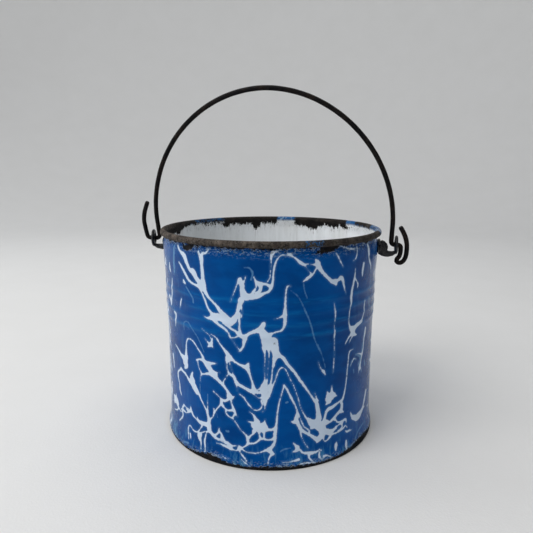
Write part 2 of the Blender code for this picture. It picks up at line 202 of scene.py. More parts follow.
# White veins in the blue enamel: degrees round the pail from its front, height in mm, half width in mm
VEINS = (
    ((-51, 124, .5), (-48, 121, .9), (-45, 119, 1.6), (-43, 115, 1.3), (-41, 111.5, 1.1), (-39, 110.8, 1.9),
     (-37, 107.5, 1.5), (-35, 105, 1.6), (-33.5, 103, 2)),
    ((-49.5, 114.5, .5), (-46.5, 111, .9), (-44, 107.5, 1), (-42, 105, .8), (-39, 103.8, .7),
     (-36.5, 103.2, .9), (-34, 102.5, 1.4)),
    ((-29, 124.5, .3), (-30.5, 122.3, .6), (-32.5, 121.5, .9), (-33, 119, 1.2), (-33, 113, 1.1),
     (-32.8, 108, 1.3), (-33, 104, 2), (-32, 101, 1.3), (-30, 98, .8), (-27.5, 95.5, .7), (-25.5, 93.5, .8),
     (-24, 91.5, 1.1), (-22, 89.2, 1.5), (-19.5, 86.5, 1.8)),
    ((-35, 122.5, .6), (-34, 120.5, .9), (-33.2, 118, 1.1)),
    ((-35.5, 102, .5), (-33.5, 99, .5), (-32, 95.5, .7), (-30.5, 92, .6), (-29, 89.8, .8),
     (-27.5, 88, 1.4)),
    ((-33, 86.5, .2), (-30, 86, .8), (-27, 87.3, 2), (-24.5, 87.5, 1.9), (-21.5, 86.3, 1.9),
     (-19, 84.8, 1.6), (-17, 86.5, 1.5), (-15.5, 89.5, 1)),
    ((-27, 85.8, 1.3), (-25.5, 84, .9), (-23, 82.3, .8), (-21, 80.8, .7), (-19.5, 79, .5), (-19, 77.5, .4),
     (-18, 76.8, .35), (-16.5, 77, .3), (-15.3, 77.8, .4)),
    ((-21.5, 85, 1.2), (-19.5, 82.8, .8), (-18, 81.6, .6), (-16, 80.5, .7), (-14.8, 79.2, .9),
     (-13, 78, .9)),
    ((-13.5, 109.5, 1.1), (-12.8, 106, 1.3), (-12.5, 103, 1.5), (-11.5, 100.5, 2.2), (-9.5, 100.2, 1.6),
     (-7.5, 100.3, 1.4), (-5, 101, 1.2), (-3, 102.2, .8), (-1, 103.3, .7), (.3, 105, .6)),
    ((-10.9, 111.2, .2), (-11.6, 109, .4), (-12.3, 106.5, .8)),
    ((-14, 109, .8), (-15, 106.5, .4), (-16, 104, .3), (-17, 101, .25), (-18.3, 97, .15)),
    ((-7.3, 111, .4), (-6.5, 109, .6), (-5.2, 107.8, 1), (-4, 107.5, 1), (-2, 107.3, .6), (-.8, 106.6, .9),
     (.3, 106, .7)),
    ((-6.3, 108, .6), (-6.3, 105.5, .4), (-7.5, 103, .8), (-8.2, 101.5, .9)),
    ((-4.5, 107, 1.1), (-4.2, 105, .9), (-4.8, 103.5, .9), (-6, 102.3, 1)),
    ((-13.3, 98, 1.7), (-14, 95.5, 1.2), (-14.8, 92.5, 1), (-15.5, 89.8, .9), (-17, 87, 1.6)),
    ((-13.3, 95, .4), (-12.8, 92, .2), (-13.2, 89, .25)),
    ((-14, 91, .5), (-14.3, 88.5, .7), (-14.2, 85, .5), (-14.2, 82, .7), (-13.8, 79.5, .9)),
    ((-19, 77.3, .3), (-17.5, 74.8, .2), (-15.5, 71.5, .2), (-14.5, 70.3, .35)),
    ((-13.3, 78, .8), (-11.8, 77.2, 1.3), (-12.3, 74, .8), (-12.8, 71.8, .6), (-14, 69.7, .5),
     (-14.8, 69.2, .3)),
    ((-11.8, 77.5, 1.2), (-10.3, 79.3, .9), (-8, 80.8, 1), (-6, 81.8, 1.3), (-4.5, 82.5, 1.6),
     (-3, 85.5, 1.2), (-2.8, 86.3, .6)),
    ((-3.5, 81, 2), (-1.8, 77.5, 2.9), (-.5, 74, 3.2), (1.5, 76, 2.3), (2, 72.5, 2.3), (3, 69, 1.6)),
    ((-2.8, 72, 1.2), (-2.5, 69, .5), (-2.3, 65, .25), (-2.6, 60, .2), (-2.4, 54, .3), (-2.5, 50.5, .9)),
    ((-.8, 72, .8), (-.5, 68.5, .35), (-.7, 63, .15), (-1.2, 57, .15), (-1.5, 51, .5)),
    ((2, 70.5, 1.2), (1.6, 68, .6), (1.5, 64, .45), (1.2, 60, .4), (.8, 55, .4), (.2, 51, .7),
     (-1, 48.5, 1.3)),
    ((-28.5, 74.5, .25), (-29.2, 72, .9), (-30, 70.3, 1), (-31.5, 69, .3)),
    ((-28.3, 69.2, .3), (-29.5, 70.5, .8)),
    ((-33, 73.5, .2), (-31, 71.3, .6)),
    ((-34.5, 79, .15), (-32, 77.3, .25), (-30, 75.8, .25), (-29.3, 74, .3)),
    ((-29, 76.8, .25), (-27, 75.8, .45), (-25.5, 74, .5), (-24, 71.5, .5), (-22, 69, .8), (-20.5, 67, 1.2),
     (-19.5, 65, 1.6)),
    ((-47.5, 58, 1.6), (-47.3, 63, .7), (-47, 66.5, .5), (-46, 69.5, .5), (-44.2, 70.5, .45), (-42, 70, .5),
     (-40, 68.5, .5), (-38.3, 66.5, .5), (-36, 64, .6), (-34.8, 62, .9), (-34, 60, 1.1), (-32, 58, 1.8),
     (-30.5, 56, 1.7), (-29, 54, 1.8), (-28, 52.5, 1.5), (-26, 50.8, .9), (-24, 49, .9), (-22.5, 47.5, .8),
     (-21, 45.5, .8), (-20, 43, 1.2)),
    ((-49.5, 93, .5), (-50.5, 89.5, .5), (-51.5, 87, .2)),
    ((-46.8, 104.5, .7), (-45.5, 103, .6), (-47.5, 103.5, .3)),
    ((-58, 83, .7), (-56, 82, .8), (-57, 78, .4), (-58, 74, .3)),
    ((-47.6, 58, 1.7), (-48.5, 55, 2.4), (-47.5, 53, 1.6), (-48.8, 51.3, .9)),
    ((-50, 57, 1.8), (-52.5, 58, 1), (-55, 60, .6), (-59, 62.2, .4)),
    ((-53, 49, .9), (-51.5, 48.3, .8), (-49, 47.5, .8), (-47, 46, .8), (-45, 44.5, 1.3), (-43, 43.5, 1.8),
     (-41.5, 41.5, 1.7), (-39.5, 39.5, 1.4), (-38, 38.5, .9), (-37, 36.5, .6), (-35.5, 34, .5),
     (-34, 31.5, .5), (-33, 30, .8), (-32.3, 27.5, .8), (-31.8, 24.5, 1), (-31.8, 22, 1.4)),
    ((-42.5, 50.3, .6), (-43.2, 48, 1.2), (-42.5, 45.5, 1.9)),
    ((-53, 49, .9), (-55, 47.3, .6), (-56.8, 45.5, .7), (-57, 43, .9), (-56.5, 41, .6), (-55.3, 38, .6),
     (-55, 34.5, .8), (-53.5, 32, .4)),
    ((-39, 59, .6), (-37.5, 60, .5), (-35.5, 60.2, .7), (-34, 59.5, 1)),
    ((-38.3, 58, .4), (-37.8, 55.5, .3), (-36.5, 53, .4), (-35.5, 51.8, .5), (-33.5, 52.3, .5),
     (-31.5, 53, .9), (-29.5, 53.2, 1.3)),
    ((-36, 51.5, .4), (-36.7, 49.5, .3), (-37, 47, .2)),
    ((-31.5, 59, 1.2), (-29.5, 59.7, .9), (-27.5, 60, .5), (-26.5, 60.3, .2)),
    ((-25, 55.3, .2), (-26.5, 55, .3), (-28, 54.5, .9)),
    ((-26.8, 54, .8), (-26.5, 52, .7), (-25, 50, .6)),
    ((-20.5, 55, .3), (-21.8, 52.5, .3), (-22.8, 50.5, .4), (-23, 49, .6)),
    ((-17.5, 42.5, .4), (-18.5, 41.8, 1), (-20, 42.5, 1.3), (-20.3, 41, .9), (-21, 39.8, .8),
     (-22.5, 39, .8), (-23.8, 39, .9), (-24.3, 37, .9), (-25, 35.5, .5), (-26.5, 33.5, .4),
     (-28.3, 30.5, .5), (-29, 28, .4), (-30, 26.5, .4), (-30.8, 25.5, .5), (-31.5, 24, .8)),
    ((-28.5, 43.2, .45), (-27, 42, .35), (-25, 40.5, .4), (-24, 39.5, .6)),
    ((-28.5, 32.5, .4), (-28.3, 30.5, .5)),
    ((-32.3, 36, .15), (-32.3, 33, .35), (-32.4, 30, .5)),
    ((-19.3, 41, .6), (-18.8, 39, .5), (-18.2, 36.5, .6), (-17.5, 34.5, .8), (-16.8, 32.5, .7),
     (-16, 31, .3)),
    ((-23.5, 36, .8), (-22.3, 34.5, .5), (-21, 33.8, .5), (-19.5, 33.8, .6), (-18.3, 34.3, .7)),
    ((-21.8, 33.5, .5), (-21.5, 31.5, .5), (-20.5, 30.3, .5), (-18.5, 29.8, .4), (-17.5, 31.5, .4)),
    ((-18.3, 29.3, .45), (-16.5, 27, .4), (-14.5, 23.5, .35), (-12.5, 21.3, .4), (-11.3, 19.8, .6),
     (-10.8, 18, .7), (-10.5, 15.5, .7), (-11.5, 14, .5), (-13, 12.7, .4), (-14.5, 12, .7)),
    ((-39.8, 23.5, .3), (-39, 21.8, .9), (-37, 21, 1.3), (-34.5, 21.5, 1), (-32, 21.5, 1.4),
     (-31.5, 18.5, 1.5), (-30, 17, .9), (-28.5, 16.5, .7), (-27, 17.5, .6), (-26, 19.3, .6),
     (-25.6, 21.5, .35)),
    ((-28.5, 16.3, .6), (-27, 15, .5), (-25, 15, .5), (-24, 16, .9), (-24.5, 18.3, .7), (-25.5, 20, .4)),
    ((-24, 16, 1.1), (-22.5, 14.5, .7), (-20.5, 13, 1.2), (-19.5, 11.5, 1.3), (-22, 11.5, .8),
     (-25, 12, .5), (-27, 12, .25)),
    ((-30, 16, .5), (-28, 14.5, .4), (-25, 14, .3), (-22, 13.3, .4)),
    ((-19.5, 10.8, .9), (-17.5, 10.2, .4), (-16, 10.4, .35), (-15, 11.5, .8), (-14.5, 12, .8)),
    ((-49, 25, .4), (-46.5, 24.5, .9), (-45, 25.5, .9), (-43.8, 25, .8), (-43, 23.5, .7), (-41, 22.3, .4),
     (-39.5, 21.5, .6)),
    ((-44.8, 28.5, .3), (-44.7, 26.5, .8)),
    ((-51, 26.5, .6), (-52.5, 24.5, .7), (-53.2, 22, .7), (-52.5, 20, .6), (-53, 18, .6), (-55, 15.5, .5),
     (-57, 13.5, .35)),
    ((-51.5, 22.5, .4), (-49, 22.5, .35), (-47, 23.8, .5)),
    ((-54.5, 20.5, .4), (-57, 21.5, .6), (-59.5, 23, 1.2), (-61.5, 24.5, 1.6), (-64, 23, 1.5)),
    ((-36.5, 19, .5), (-38, 16.5, .4), (-39.5, 14.5, .45), (-41.5, 13.7, .5), (-43.5, 14.2, .45),
     (-45.5, 15.7, .45), (-47, 14.5, .4), (-47.3, 12, .5), (-47, 9.5, .5), (-46.5, 7, .35)),
    ((-45.5, 10.5, .7), (-44.8, 8, .4)),
    ((-32, 17.3, .5), (-34.5, 16.5, .3), (-36.5, 15, .5), (-37.5, 13.5, 1.2), (-37.8, 11.5, 1),
     (-37, 9, .5), (-36.8, 5, .3)),
    ((-33.5, 16, .3), (-34.2, 13, .5), (-34.5, 10, .7), (-34, 7, .5), (-33.8, 4.5, .4)),
    ((-20.2, 64.5, 1.6), (-18.5, 64.3, 1), (-16, 62.5, .6), (-14, 61.5, .7), (-12, 60.7, 1.2),
     (-10.8, 61, 1.3), (-10.2, 63, .3)),
    ((-10.8, 60, 1.2), (-9.8, 57.5, .8), (-9, 54.5, .6), (-8.3, 52, .6), (-8, 50, .8), (-8, 48, 1)),
    ((-20.8, 63, .9), (-21, 60.5, .4), (-20.5, 57.5, .45), (-19.5, 55.5, .7), (-17.5, 54.3, .8),
     (-16.5, 52, .9), (-15, 50, 1), (-13, 49, .9), (-11, 47.8, .9), (-9, 46.8, 1.1), (-7, 46.5, .9),
     (-5, 46.2, .7), (-4, 46.8, 1), (-3, 48, 1.6)),
    ((-19.8, 63, .5), (-18.8, 59.5, .2), (-17.8, 56, .2), (-17.5, 54.5, .4)),
    ((-16.5, 51, .5), (-16, 48.5, .25), (-15.7, 46.5, .15)),
    ((-7.7, 49.3, .6), (-6.5, 47.9, .35), (-5.5, 48, .3), (-4.5, 48.8, .5), (-3.2, 51, .7)),
    ((-2.3, 53, .5), (-2.5, 51, 1.2), (-2.8, 48.5, 1.9), (-2.5, 45.5, 1.8), (-2.4, 42.5, 1.5),
     (-2.3, 40.5, .9), (-2.5, 39.3, .6)),
    ((-8, 45.7, .5), (-6.5, 44, .3), (-5.3, 43.2, .35), (-4, 43.3, .5)),
    ((-4, 41.5, .5), (-3.7, 39.5, .4), (-4.3, 37, .4), (-6, 35.7, .4), (-8, 36.3, .35), (-9.5, 38, .4),
     (-11, 40.2, .5), (-12.5, 42.7, .4), (-14.5, 44.3, .35)),
    ((-2.3, 39, .3), (-2.5, 36.5, .2), (-3.5, 35, .15)),
    ((-1, 43, .6), (0, 46, .8), (.8, 49, .7), (2, 52, .4), (2.8, 55, .4), (3.8, 58.5, .4), (5, 60.5, .4),
     (6.5, 60.5, .4), (8, 58, .35), (9.5, 54, .3), (11.2, 50, .3), (12.5, 46, .3), (13.8, 41, .35),
     (15, 36, .35), (16.5, 32.5, .4), (17.8, 30, .6), (19, 28.5, 1), (20.5, 26.5, 1.6)),
    ((6.6, 50.5, .4), (6, 47.5, .4), (5.2, 44, .35), (4.5, 41, .4), (3.8, 36, .45), (3.5, 33, .5),
     (3.2, 28, .6), (2.8, 25, .9), (2.5, 21, .9), (2.3, 17, .8), (1.2, 14.3, .7), (.5, 12.5, .8),
     (.8, 10.5, .9), (1.8, 9.8, .6)),
    ((6.6, 50.5, .4), (7.8, 48.5, .6), (9, 45.5, .6), (10.5, 42, .6), (12, 38.5, .5), (12.8, 36, .5),
     (13.2, 34, .7), (12.8, 31, 1.1), (12.3, 28.5, 1.3), (10.5, 28.7, .4)),
    ((13.2, 28, 1.1), (14.2, 25.5, .9), (15, 23, .7), (15.3, 20, .4), (16.2, 17, .3), (17.5, 14, .3),
     (19, 11.3, .25)),
    ((14.3, 25.5, .8), (16, 22.5, .8), (18, 20.5, .8), (20, 19, .9), (22, 17, 1.1), (24, 15.5, 1.4)),
    ((13.8, 33, .4), (14.8, 30, .35), (15.8, 27, .4), (17, 24.5, .4), (18.8, 22.7, .5), (19.5, 21, .5)),
    ((-10.5, 28.8, .3), (-8.5, 28, .9), (-7, 26.5, 2.2), (-5, 25.5, 2.6), (-3, 25.3, 2.4),
     (-1.5, 24.5, 1.2), (0, 24.3, .8), (1.5, 24.5, .8), (2.5, 24.8, .9)),
    ((-9.5, 34.5, .3), (-8, 33, .5), (-7, 31, .9), (-6, 28.8, 1.5)),
    ((-2.3, 30.5, .15), (-2.5, 29, .5), (-3, 27, 1.6)),
    ((-7.5, 23, 1.2), (-8, 21.5, .6), (-9.3, 20.2, .5), (-10, 19, .7)),
    ((-5.2, 22.5, .7), (-4.9, 20.8, .35), (-4.5, 19.3, .6), (-3.3, 18.7, .6), (-2.8, 20.5, .5),
     (-2.8, 22.5, .8)),
    ((-4.5, 19, .5), (-5.5, 17.5, .6), (-7.5, 15.8, .5), (-9.3, 15.5, .6), (-10.5, 15, .6)),
    ((-2.8, 18.8, .6), (-1, 18.2, .5), (1, 18.5, .6), (2.2, 19.5, .7)),
    ((2, 15, .6), (0, 13.3, .6), (-2, 12, .5), (-4, 10.8, .4), (-6.5, 10, .35), (-9, 10, .35),
     (-11.5, 10.3, .35), (-13.5, 11.5, .5), (-14.5, 12, .8)),
    ((-2, 11.8, .5), (0, 11.3, .9), (1, 9.8, .9), (0, 8, .5), (-.7, 6, .35), (-.8, 4, .35), (-.9, 2.5, .3)),
    ((-14.8, 11.5, .7), (-14.3, 9.5, .4), (-13.3, 7.8, .5), (-12, 6.3, .5), (-11, 5, .3)),
    ((11.5, 15.5, .3), (12.5, 14, .7), (13.5, 12.5, 1.2), (13, 11, 1), (11.5, 10.5, .5)),
    ((13.5, 11.5, 1), (14.7, 11, .6), (16, 9.3, .6), (18, 8.5, .8), (20, 8.2, .9), (22, 8, .8),
     (24, 8.3, .5), (25, 9, .4), (26, 8.2, .4)),
    ((19.5, 7.5, 1), (19.2, 6, .6), (20, 4.5, .5), (21, 3.5, .3)),
    ((25, 7.5, .5), (24.8, 5, .7), (25.8, 3.3, .4), (27.5, 4, .4)),
    ((1.7, 62, .5), (2.3, 65, .6), (3.2, 66.8, .8), (4.8, 67.3, .9), (6.3, 66, 1), (8, 62.8, .9),
     (10, 60, .8), (12, 57, .7), (14, 53.3, .8), (16, 50, .7), (18, 46.5, .6), (20, 43, .5),
     (21.5, 40.3, .7), (23, 38, 1.1), (23.8, 34.5, 1.3), (24.2, 31, 1.5), (24.5, 28, 2), (23.5, 25.5, 2.5),
     (25, 23.5, 2.8), (26.5, 21.5, 2.6), (26.7, 18.5, 2.1), (25.5, 16, 1.7), (24, 14, .8)),
    ((22, 44, .2), (22.8, 41.5, .4), (23.5, 39, .8)),
    ((3, 69, 1.6), (4, 68, 1.3)),
    ((19, 28.5, .9), (20.5, 26.5, 1.7), (22, 25, 2.4), (20.6, 23.2, .8)),
    ((27, 24, 1.8), (27.7, 26.5, 1.1), (28.3, 29, .9), (28.8, 31, 1), (30, 32.3, 1.2), (32, 32.8, 1.1),
     (34, 33.5, .9), (36, 34.3, .7), (37.8, 34.8, .7), (38.7, 33, 1), (38.8, 30.5, 1.1), (38.5, 28.5, 1.3),
     (40, 27.3, .5)),
    ((29, 24.5, 1.6), (31, 24.2, .8), (33, 25.3, .9), (35, 26.8, .9), (37, 28.3, 1.1)),
    ((34, 25, .9), (35, 23.8, .6), (36, 22.5, .5), (37.5, 21.8, .5), (39, 22, .4), (40, 21.5, .4),
     (39.5, 20, .5), (38, 20.5, .4), (36.5, 20, .4), (35, 19.5, .8)),
    ((28, 19.8, 1.5), (31, 18.7, .9), (33, 18.2, 1.1), (35, 18.8, .8)),
    ((29.5, 18, 1.2), (31, 17, 1.2), (33, 16, .7), (35.5, 15.8, .5), (38, 16.8, .6), (39.5, 18.2, .5),
     (39, 19.8, .5)),
    ((27.3, 17, 1), (27.6, 14.5, .5), (28.6, 13, .4), (30, 13.6, .6), (31.6, 15, .8)),
    ((29, 43.3, .3), (29.5, 41.5, 1), (29.8, 38.5, 2), (31, 39.5, 2.6), (32.5, 40, 1.9), (34, 39.5, .9),
     (35, 39, .3)),
    ((31.7, 46, .35), (31.8, 43.5, .7), (31.8, 41.5, 1.3)),
    ((28.7, 35.8, .6), (31, 36.5, .7)),
    ((38.5, 34.5, .8), (39.5, 36, .9), (40.3, 38.5, .7), (41, 42, .5), (41.7, 47, .5), (42.2, 53, .5),
     (42.6, 58, .45), (43, 62, .5), (44, 63.7, .5), (46.5, 64, .2)),
    ((46, 24.5, .3), (47, 22, .9), (48.5, 20.5, 1.2), (50.5, 19.2, 1.6), (52.5, 18.2, 1.9),
     (54.5, 18.2, 1.9), (56.5, 19.5, 1.4), (59, 20.3, .8), (62, 21, .6)),
    ((42, 14.5, .3), (43.5, 13.3, .6), (45.2, 13.5, .6)),
    ((35.5, 10, .4), (35.2, 8, .9), (34.8, 6, .5)),
    ((42.5, 8, .5), (42.3, 6, .7), (42, 4, .4)),
    ((27.5, 54, .5), (26.5, 56, .8), (25.5, 57, .5), (24.5, 59, .3), (23.5, 62, .15)),
    ((31.3, 94.5, .2), (31.8, 91, .5), (32.3, 88, .5), (32, 85, .2), (31.8, 81.5, .2), (32.3, 78, .5),
     (32.2, 75, .4), (32.5, 71, .3), (32.7, 66, .25), (32.6, 61, .3), (32.4, 56.5, .4), (32.2, 54, .2)),
    ((3.5, 124.7, .3), (1.5, 124.3, .8), (.6, 123, 1), (.3, 120, .35), (.2, 115, .25), (-.2, 111, .25),
     (-1.2, 108.8, .4)),
    ((9, 123, .6), (7, 122.7, .4), (5, 122.8, .35), (3.5, 121.5, .35), (2.3, 119, .5), (1.6, 115.5, .55),
     (1.3, 111, .5), (.8, 107, .7), (.2, 105.5, .6)),
    ((7.5, 123.6, .4), (9.5, 122.2, .5), (11.5, 120.5, .6), (13.5, 118.3, .9), (15, 117.2, .6),
     (16.2, 115.5, .2), (17.5, 113.5, .2), (18.5, 112.5, .35)),
    ((15.5, 117.8, .25), (18, 117.4, .25), (20.5, 117, .7)),
    ((20.5, 119.5, .7), (21.5, 118, 1.3), (22, 116, 1.4), (23.5, 113.5, 1), (25.5, 111, .9),
     (27.5, 108.8, .9), (29.5, 107, 1.2), (31.5, 106, 1.2), (32, 104.5, .4)),
    ((31, 107, 1.2), (33, 107.3, .9), (34.5, 108.3, 1.3), (35.8, 107, 1), (36.8, 104, .7),
     (37.5, 101.5, .4), (38.5, 98.8, .15)),
    ((21, 115.5, .5), (19.5, 112.5, .5), (18, 111, .9), (16, 109.3, .7), (15, 108.5, .4)),
    ((31, 122.3, .4), (32.5, 119.8, .5), (34, 117, .45), (35.5, 114.5, .25)),
    ((45.2, 124, .4), (44.8, 120, .5), (44, 117.8, .5), (42.3, 116.8, .3)),
    ((44.3, 112, .3), (44.3, 108, .6), (43.8, 104, .8), (43, 100, .9), (42.5, 96.5, 1), (42.8, 93, .7),
     (42, 90, .4), (41.5, 86, .4), (41.5, 82, .4), (42.2, 79, .7), (43.5, 77, 1.3), (45, 75.5, 1.6),
     (44, 73.5, 1), (42.5, 72.5, .6), (41, 70.5, .5), (40, 69, .3)),
    ((44.5, 106.5, .5), (46.3, 104.5, .45), (47.5, 102.5, .6), (47.5, 100.5, .3)),
    ((45, 76.5, 1.5), (47.5, 77.5, 1.1), (50, 78.3, .9), (52.5, 79, .7), (54, 81, .5), (55, 84, .5),
     (55.3, 88, .6), (55.2, 91, .4)),
    ((46, 74.5, 1), (47.5, 73, .5), (49, 72, .2)),
    ((9, 106, .2), (8, 106.3, .4), (7.2, 104.5, .5), (6.9, 100, .5), (6.8, 95, .7), (6.6, 91.5, 1.1),
     (6.8, 88, 1), (6.3, 84, .7), (5, 81.8, .5), (3, 81.2, .5), (1, 80.3, .6), (-.5, 79.5, 1.2)),
    ((2, 88.3, .1), (4, 89, .3), (5.8, 90, .8)),
    ((55.5, 124, .5), (56.5, 121, .6), (57.5, 118, .4)),
    ((51.5, 113.5, .8), (51, 110.5, .6), (51.2, 107, .3)),
    # low on the left
    ((-64, 26, 1.5), (-60, 26, 1.6), (-58, 24, 1)),
    ((-61, 29, .5), (-60.5, 26, 1)),
    ((-64, 17.5, .4), (-60, 19, .5), (-58, 21, .6)),
    ((-51, 26.8, .3), (-49, 26, .4), (-47, 25.8, .6)),
    ((-54.5, 22.3, .3), (-52.8, 23, .6), (-50, 22.6, .4)),
    ((-64, 54, 1), (-63, 50, .8), (-62.5, 46, .5)),
    ((-49.5, 56, 1), (-48.5, 54, 1.4), (-47.3, 53, 1)),
    ((-44, 47, .8), (-43, 45, 1.5), (-41, 42, 1.6), (-39.5, 39.5, 1.5)),
    ((-38.6, 14, .7), (-38.8, 12.5, 1.1), (-37.8, 10, .7)),
    ((-36.5, 20.8, 1.1), (-33, 21, 1.2), (-31.5, 19, 1.1)),
    # high on the left
    ((-61, 112, .5), (-61.2, 109, 1.1), (-60.5, 107, .6)),
    ((-59, 103, .4), (-60, 97, .8), (-60.5, 92, .8), (-62, 88, .8)),
    ((-64, 91, 1.2), (-62.8, 88.5, 1.3), (-62, 86, .5)),
    ((-58, 83, .4), (-57, 82.3, .8), (-56.2, 81, .6), (-56.8, 77, .4)),
    # along the foot
    ((-23.5, 5.2, .3), (-21.5, 4.4, .4), (-20, 4.6, .2)),
    ((-19, 12.5, .5), (-15, 13.3, .2)),
    ((-13.5, 5.5, .3), (-12, 4.2, .4), (-10.5, 3.2, .3)),
    ((6, 4.8, .2), (10, 4.9, .4), (14, 5.6, .8)),
    ((14, 2.8, .4), (17, 3.2, .5), (20, 2.6, .5), (23, 2.2, .3)),
    ((27, 4.8, .5), (29, 4.4, .5), (31, 3.2, .3)),
    ((35.2, 9, .6), (34.9, 7, .8), (34.6, 5.4, .4)),
    ((42.4, 7.4, .5), (42.2, 5.5, .8), (42, 3, .5)),
    ((44, 13.3, .3), (46, 13, .4), (47.5, 12.8, .2)),
    # low on the right
    ((38, 20.6, .4), (40.5, 21.9, .7), (42, 21.6, .8), (42.6, 19.8, .4)),
    ((37, 16.3, .7), (40, 16.6, .6), (42, 17.8, .4), (43.5, 16, .3)),
    ((48, 20.5, 1.2), (51, 18.9, 1.7), (54, 18.7, 2.3), (57, 19.5, 1.8), (60, 22, 1.1), (62, 26, 1.4),
     (64, 30, 1.6)),
    # middle and top right
    ((44, 77.5, 1.2), (46, 76.5, 1.7), (48, 77.8, 1.3), (51, 78.8, 1), (53, 79.3, .8)),
    ((45.5, 75, 1.2), (46, 72.8, .8), (48.5, 72, .4)),
    ((45.5, 72.5, .6), (44, 70.5, .4), (43, 69, .3)),
    ((59, 73, .9), (58.5, 70, 1.1), (57.5, 66, .7), (57, 61, .6), (56, 58, .9), (55.3, 56, .7),
     (54.5, 53.5, .6), (53.8, 51, 1.1), (53.8, 48.5, .4)),
    ((50, 60, .3), (52, 59.3, .4), (54, 58.5, .6), (55.5, 57.5, .8)),
    ((53, 50, .5), (52.5, 46.5, .2)),
    ((54.5, 50, .4), (56, 47, .3)),
    ((44.6, 54, .2), (45.8, 56, .4), (47.5, 57.8, .4), (49.5, 57, .2)),
    ((34, 126, .4), (37, 124.6, .4), (40, 123.6, .5), (43, 123.2, .4)),
    ((51.5, 113.5, 1), (50.9, 110, .9), (51.2, 106.5, .3)),
    ((55.3, 123.5, .7), (56, 120, .8), (57, 116, .6), (58.5, 113.5, .8), (60.5, 110.5, .6),
     (61.5, 107, .3)),
)

# Thin, half-transparent veins in the same units
FAINT_VEINS = (
    ((-48.5, 75, .3), (-48, 79, .3), (-46, 80.5, .3), (-44, 80, .3), (-41, 76.5, .3), (-38, 73, .3),
     (-36, 69.5, .3), (-34, 65.5, .2)),
    ((-54, 123, .8), (-54.5, 118, .8), (-55.5, 112, .6), (-56, 106, .3)),
    ((-37.2, 45, .2), (-37.2, 42, .2), (-37, 38.5, .15)),
    ((-32.2, 40.5, .2), (-32.3, 36, .3)),
    ((9, 104, .15), (12, 101, .2), (14, 97.5, .2), (16, 92.5, .3), (18, 87.5, .35), (19.5, 82.5, .35),
     (20.5, 78, .45), (21.5, 75, .3), (23, 71, .25), (25, 67, .2), (26.5, 62, .2), (27.5, 58, .25)),
    ((15, 107, .3), (15.7, 103, .3), (17, 99, .2)),
    ((-11.5, 116, .2), (-9, 115.6, .35), (-7.8, 113, .45), (-8.5, 109.5, .3)),
    ((44.5, 54.5, .5), (45.5, 56.8, .6), (47.5, 57.5, .5), (49.5, 56.5, .5)),
    ((49, 59.8, .6), (51, 59, .8), (53, 58, 1), (54.5, 57.3, 1), (55.5, 60, .9), (56.5, 64, .8),
     (57.5, 68, .9), (58.5, 72, .9)),
    ((54, 56, 1), (53.5, 53, .9), (54.5, 50, .7), (56, 46.5, .5)),
    ((52, 53, .6), (52.5, 50, .4)),
    ((-21.5, 20.8, .6), (-20.5, 20.9, .6)),
    ((5, 11, .2), (7, 12.3, .4), (10, 12.7, .2)),
    ((7.8, 40.3, .5), (8.4, 40.5, .5)),
    ((24.5, 68, .2), (23, 72, .2)),
    ((-26.5, 28, .3), (-27, 30, .2)),
    ((-45, 101, .4), (-42.5, 98.5, .4), (-40.5, 96, .5), (-39.8, 93, .5)),
    ((-54.3, 119, .8), (-54.8, 114, .8), (-55.3, 108, .5)),
    ((-62, 8, .8), (-61.5, 4, .9)),
    ((-50, 3.6, .5), (-46, 4.4, .5)),
    ((47.5, 51, .5), (47.8, 49, .5)),
    ((59.5, 52, .8), (60.5, 49, .8)),
    ((50, 5.5, .4), (54, 9, .5), (60, 10.5, .6)),
    ((61, 91, .9), (62, 86, .7)),
)

# Chips in the enamel of the outside: same units
CHIPS = (
    ((-46.5, 124.6, .9), (-44, 123.8, 1.3), (-41, 124.4, 1.6), (-38.5, 125.6, .8)),
    ((-20.5, 126.2, .7), (-18, 126.4, 1), (-15, 126, .6)),
    ((20.8, 122.9, .4), (22.5, 123.6, 1.1), (24.5, 124.2, 1.5), (27, 124.9, 1.9), (29.5, 125.2, 1.7),
     (32, 125.8, .8)),
    ((36, 126.6, .7), (40, 126.4, .6)),
    ((1.3, 74.4, .3), (1.8, 74.5, .3)),
)

# Height in mm of the worn dark band at the foot, by degrees round the pail
FOOT_WEAR = (
    (-180, 2.4), (-150, 3.4), (-120, 2.0), (-90, 2.6), (-65, 1.8), (-48, 1.8), (-40, 2.4), (-35, 3.6),
    (-31, 4.6), (-25, 4.0), (-21, 2.4), (-12, 2.2), (-4, 2.6), (6, 2.6), (14, 2.4), (22, 2.0), (30, 1.9),
    (37, 2.3), (43, 3.0), (49, 4.1), (54, 5.0), (60, 4.8), (68, 3.6), (85, 2.6), (110, 3.6), (140, 2.0),
    (165, 3.0), (180, 2.4),
)

# Worn iron inside: how far in mm it reaches below the rim, by degrees round the pail
LINING_WEAR = (
    (-180, 5.5), (-174, 5), (-171.8, 9.3), (-168.6, 9.3), (-167, 4.6), (-160, 5.8), (-153, 5), (-149.5, 8),
    (-146, 4.4), (-138, 5), (-130, 3.6), (-122, 3.4), (-115, 4.6), (-109, 8.6), (-104, 6.6), (-98, 9.4),
    (-91, 5), (-80, 4), (-60, 3), (-30, 3.5), (0, 3), (30, 3.5), (60, 3), (90, 3.4), (105, 3), (115, 2.6),
    (122, 4.8), (127, 7), (131, 4.4), (136, 7), (141, 4.8), (146, 6), (152, 9.6), (156, 7), (160, 7.2),
    (163.5, 5.4), (165, 2.2), (174, 2.2), (176.5, 5.4), (180, 5.5),
)
WORN_THROUGH = -3.0
NO_PATCH = -9.0
LINING_WEAR_DEPTH = 0.10

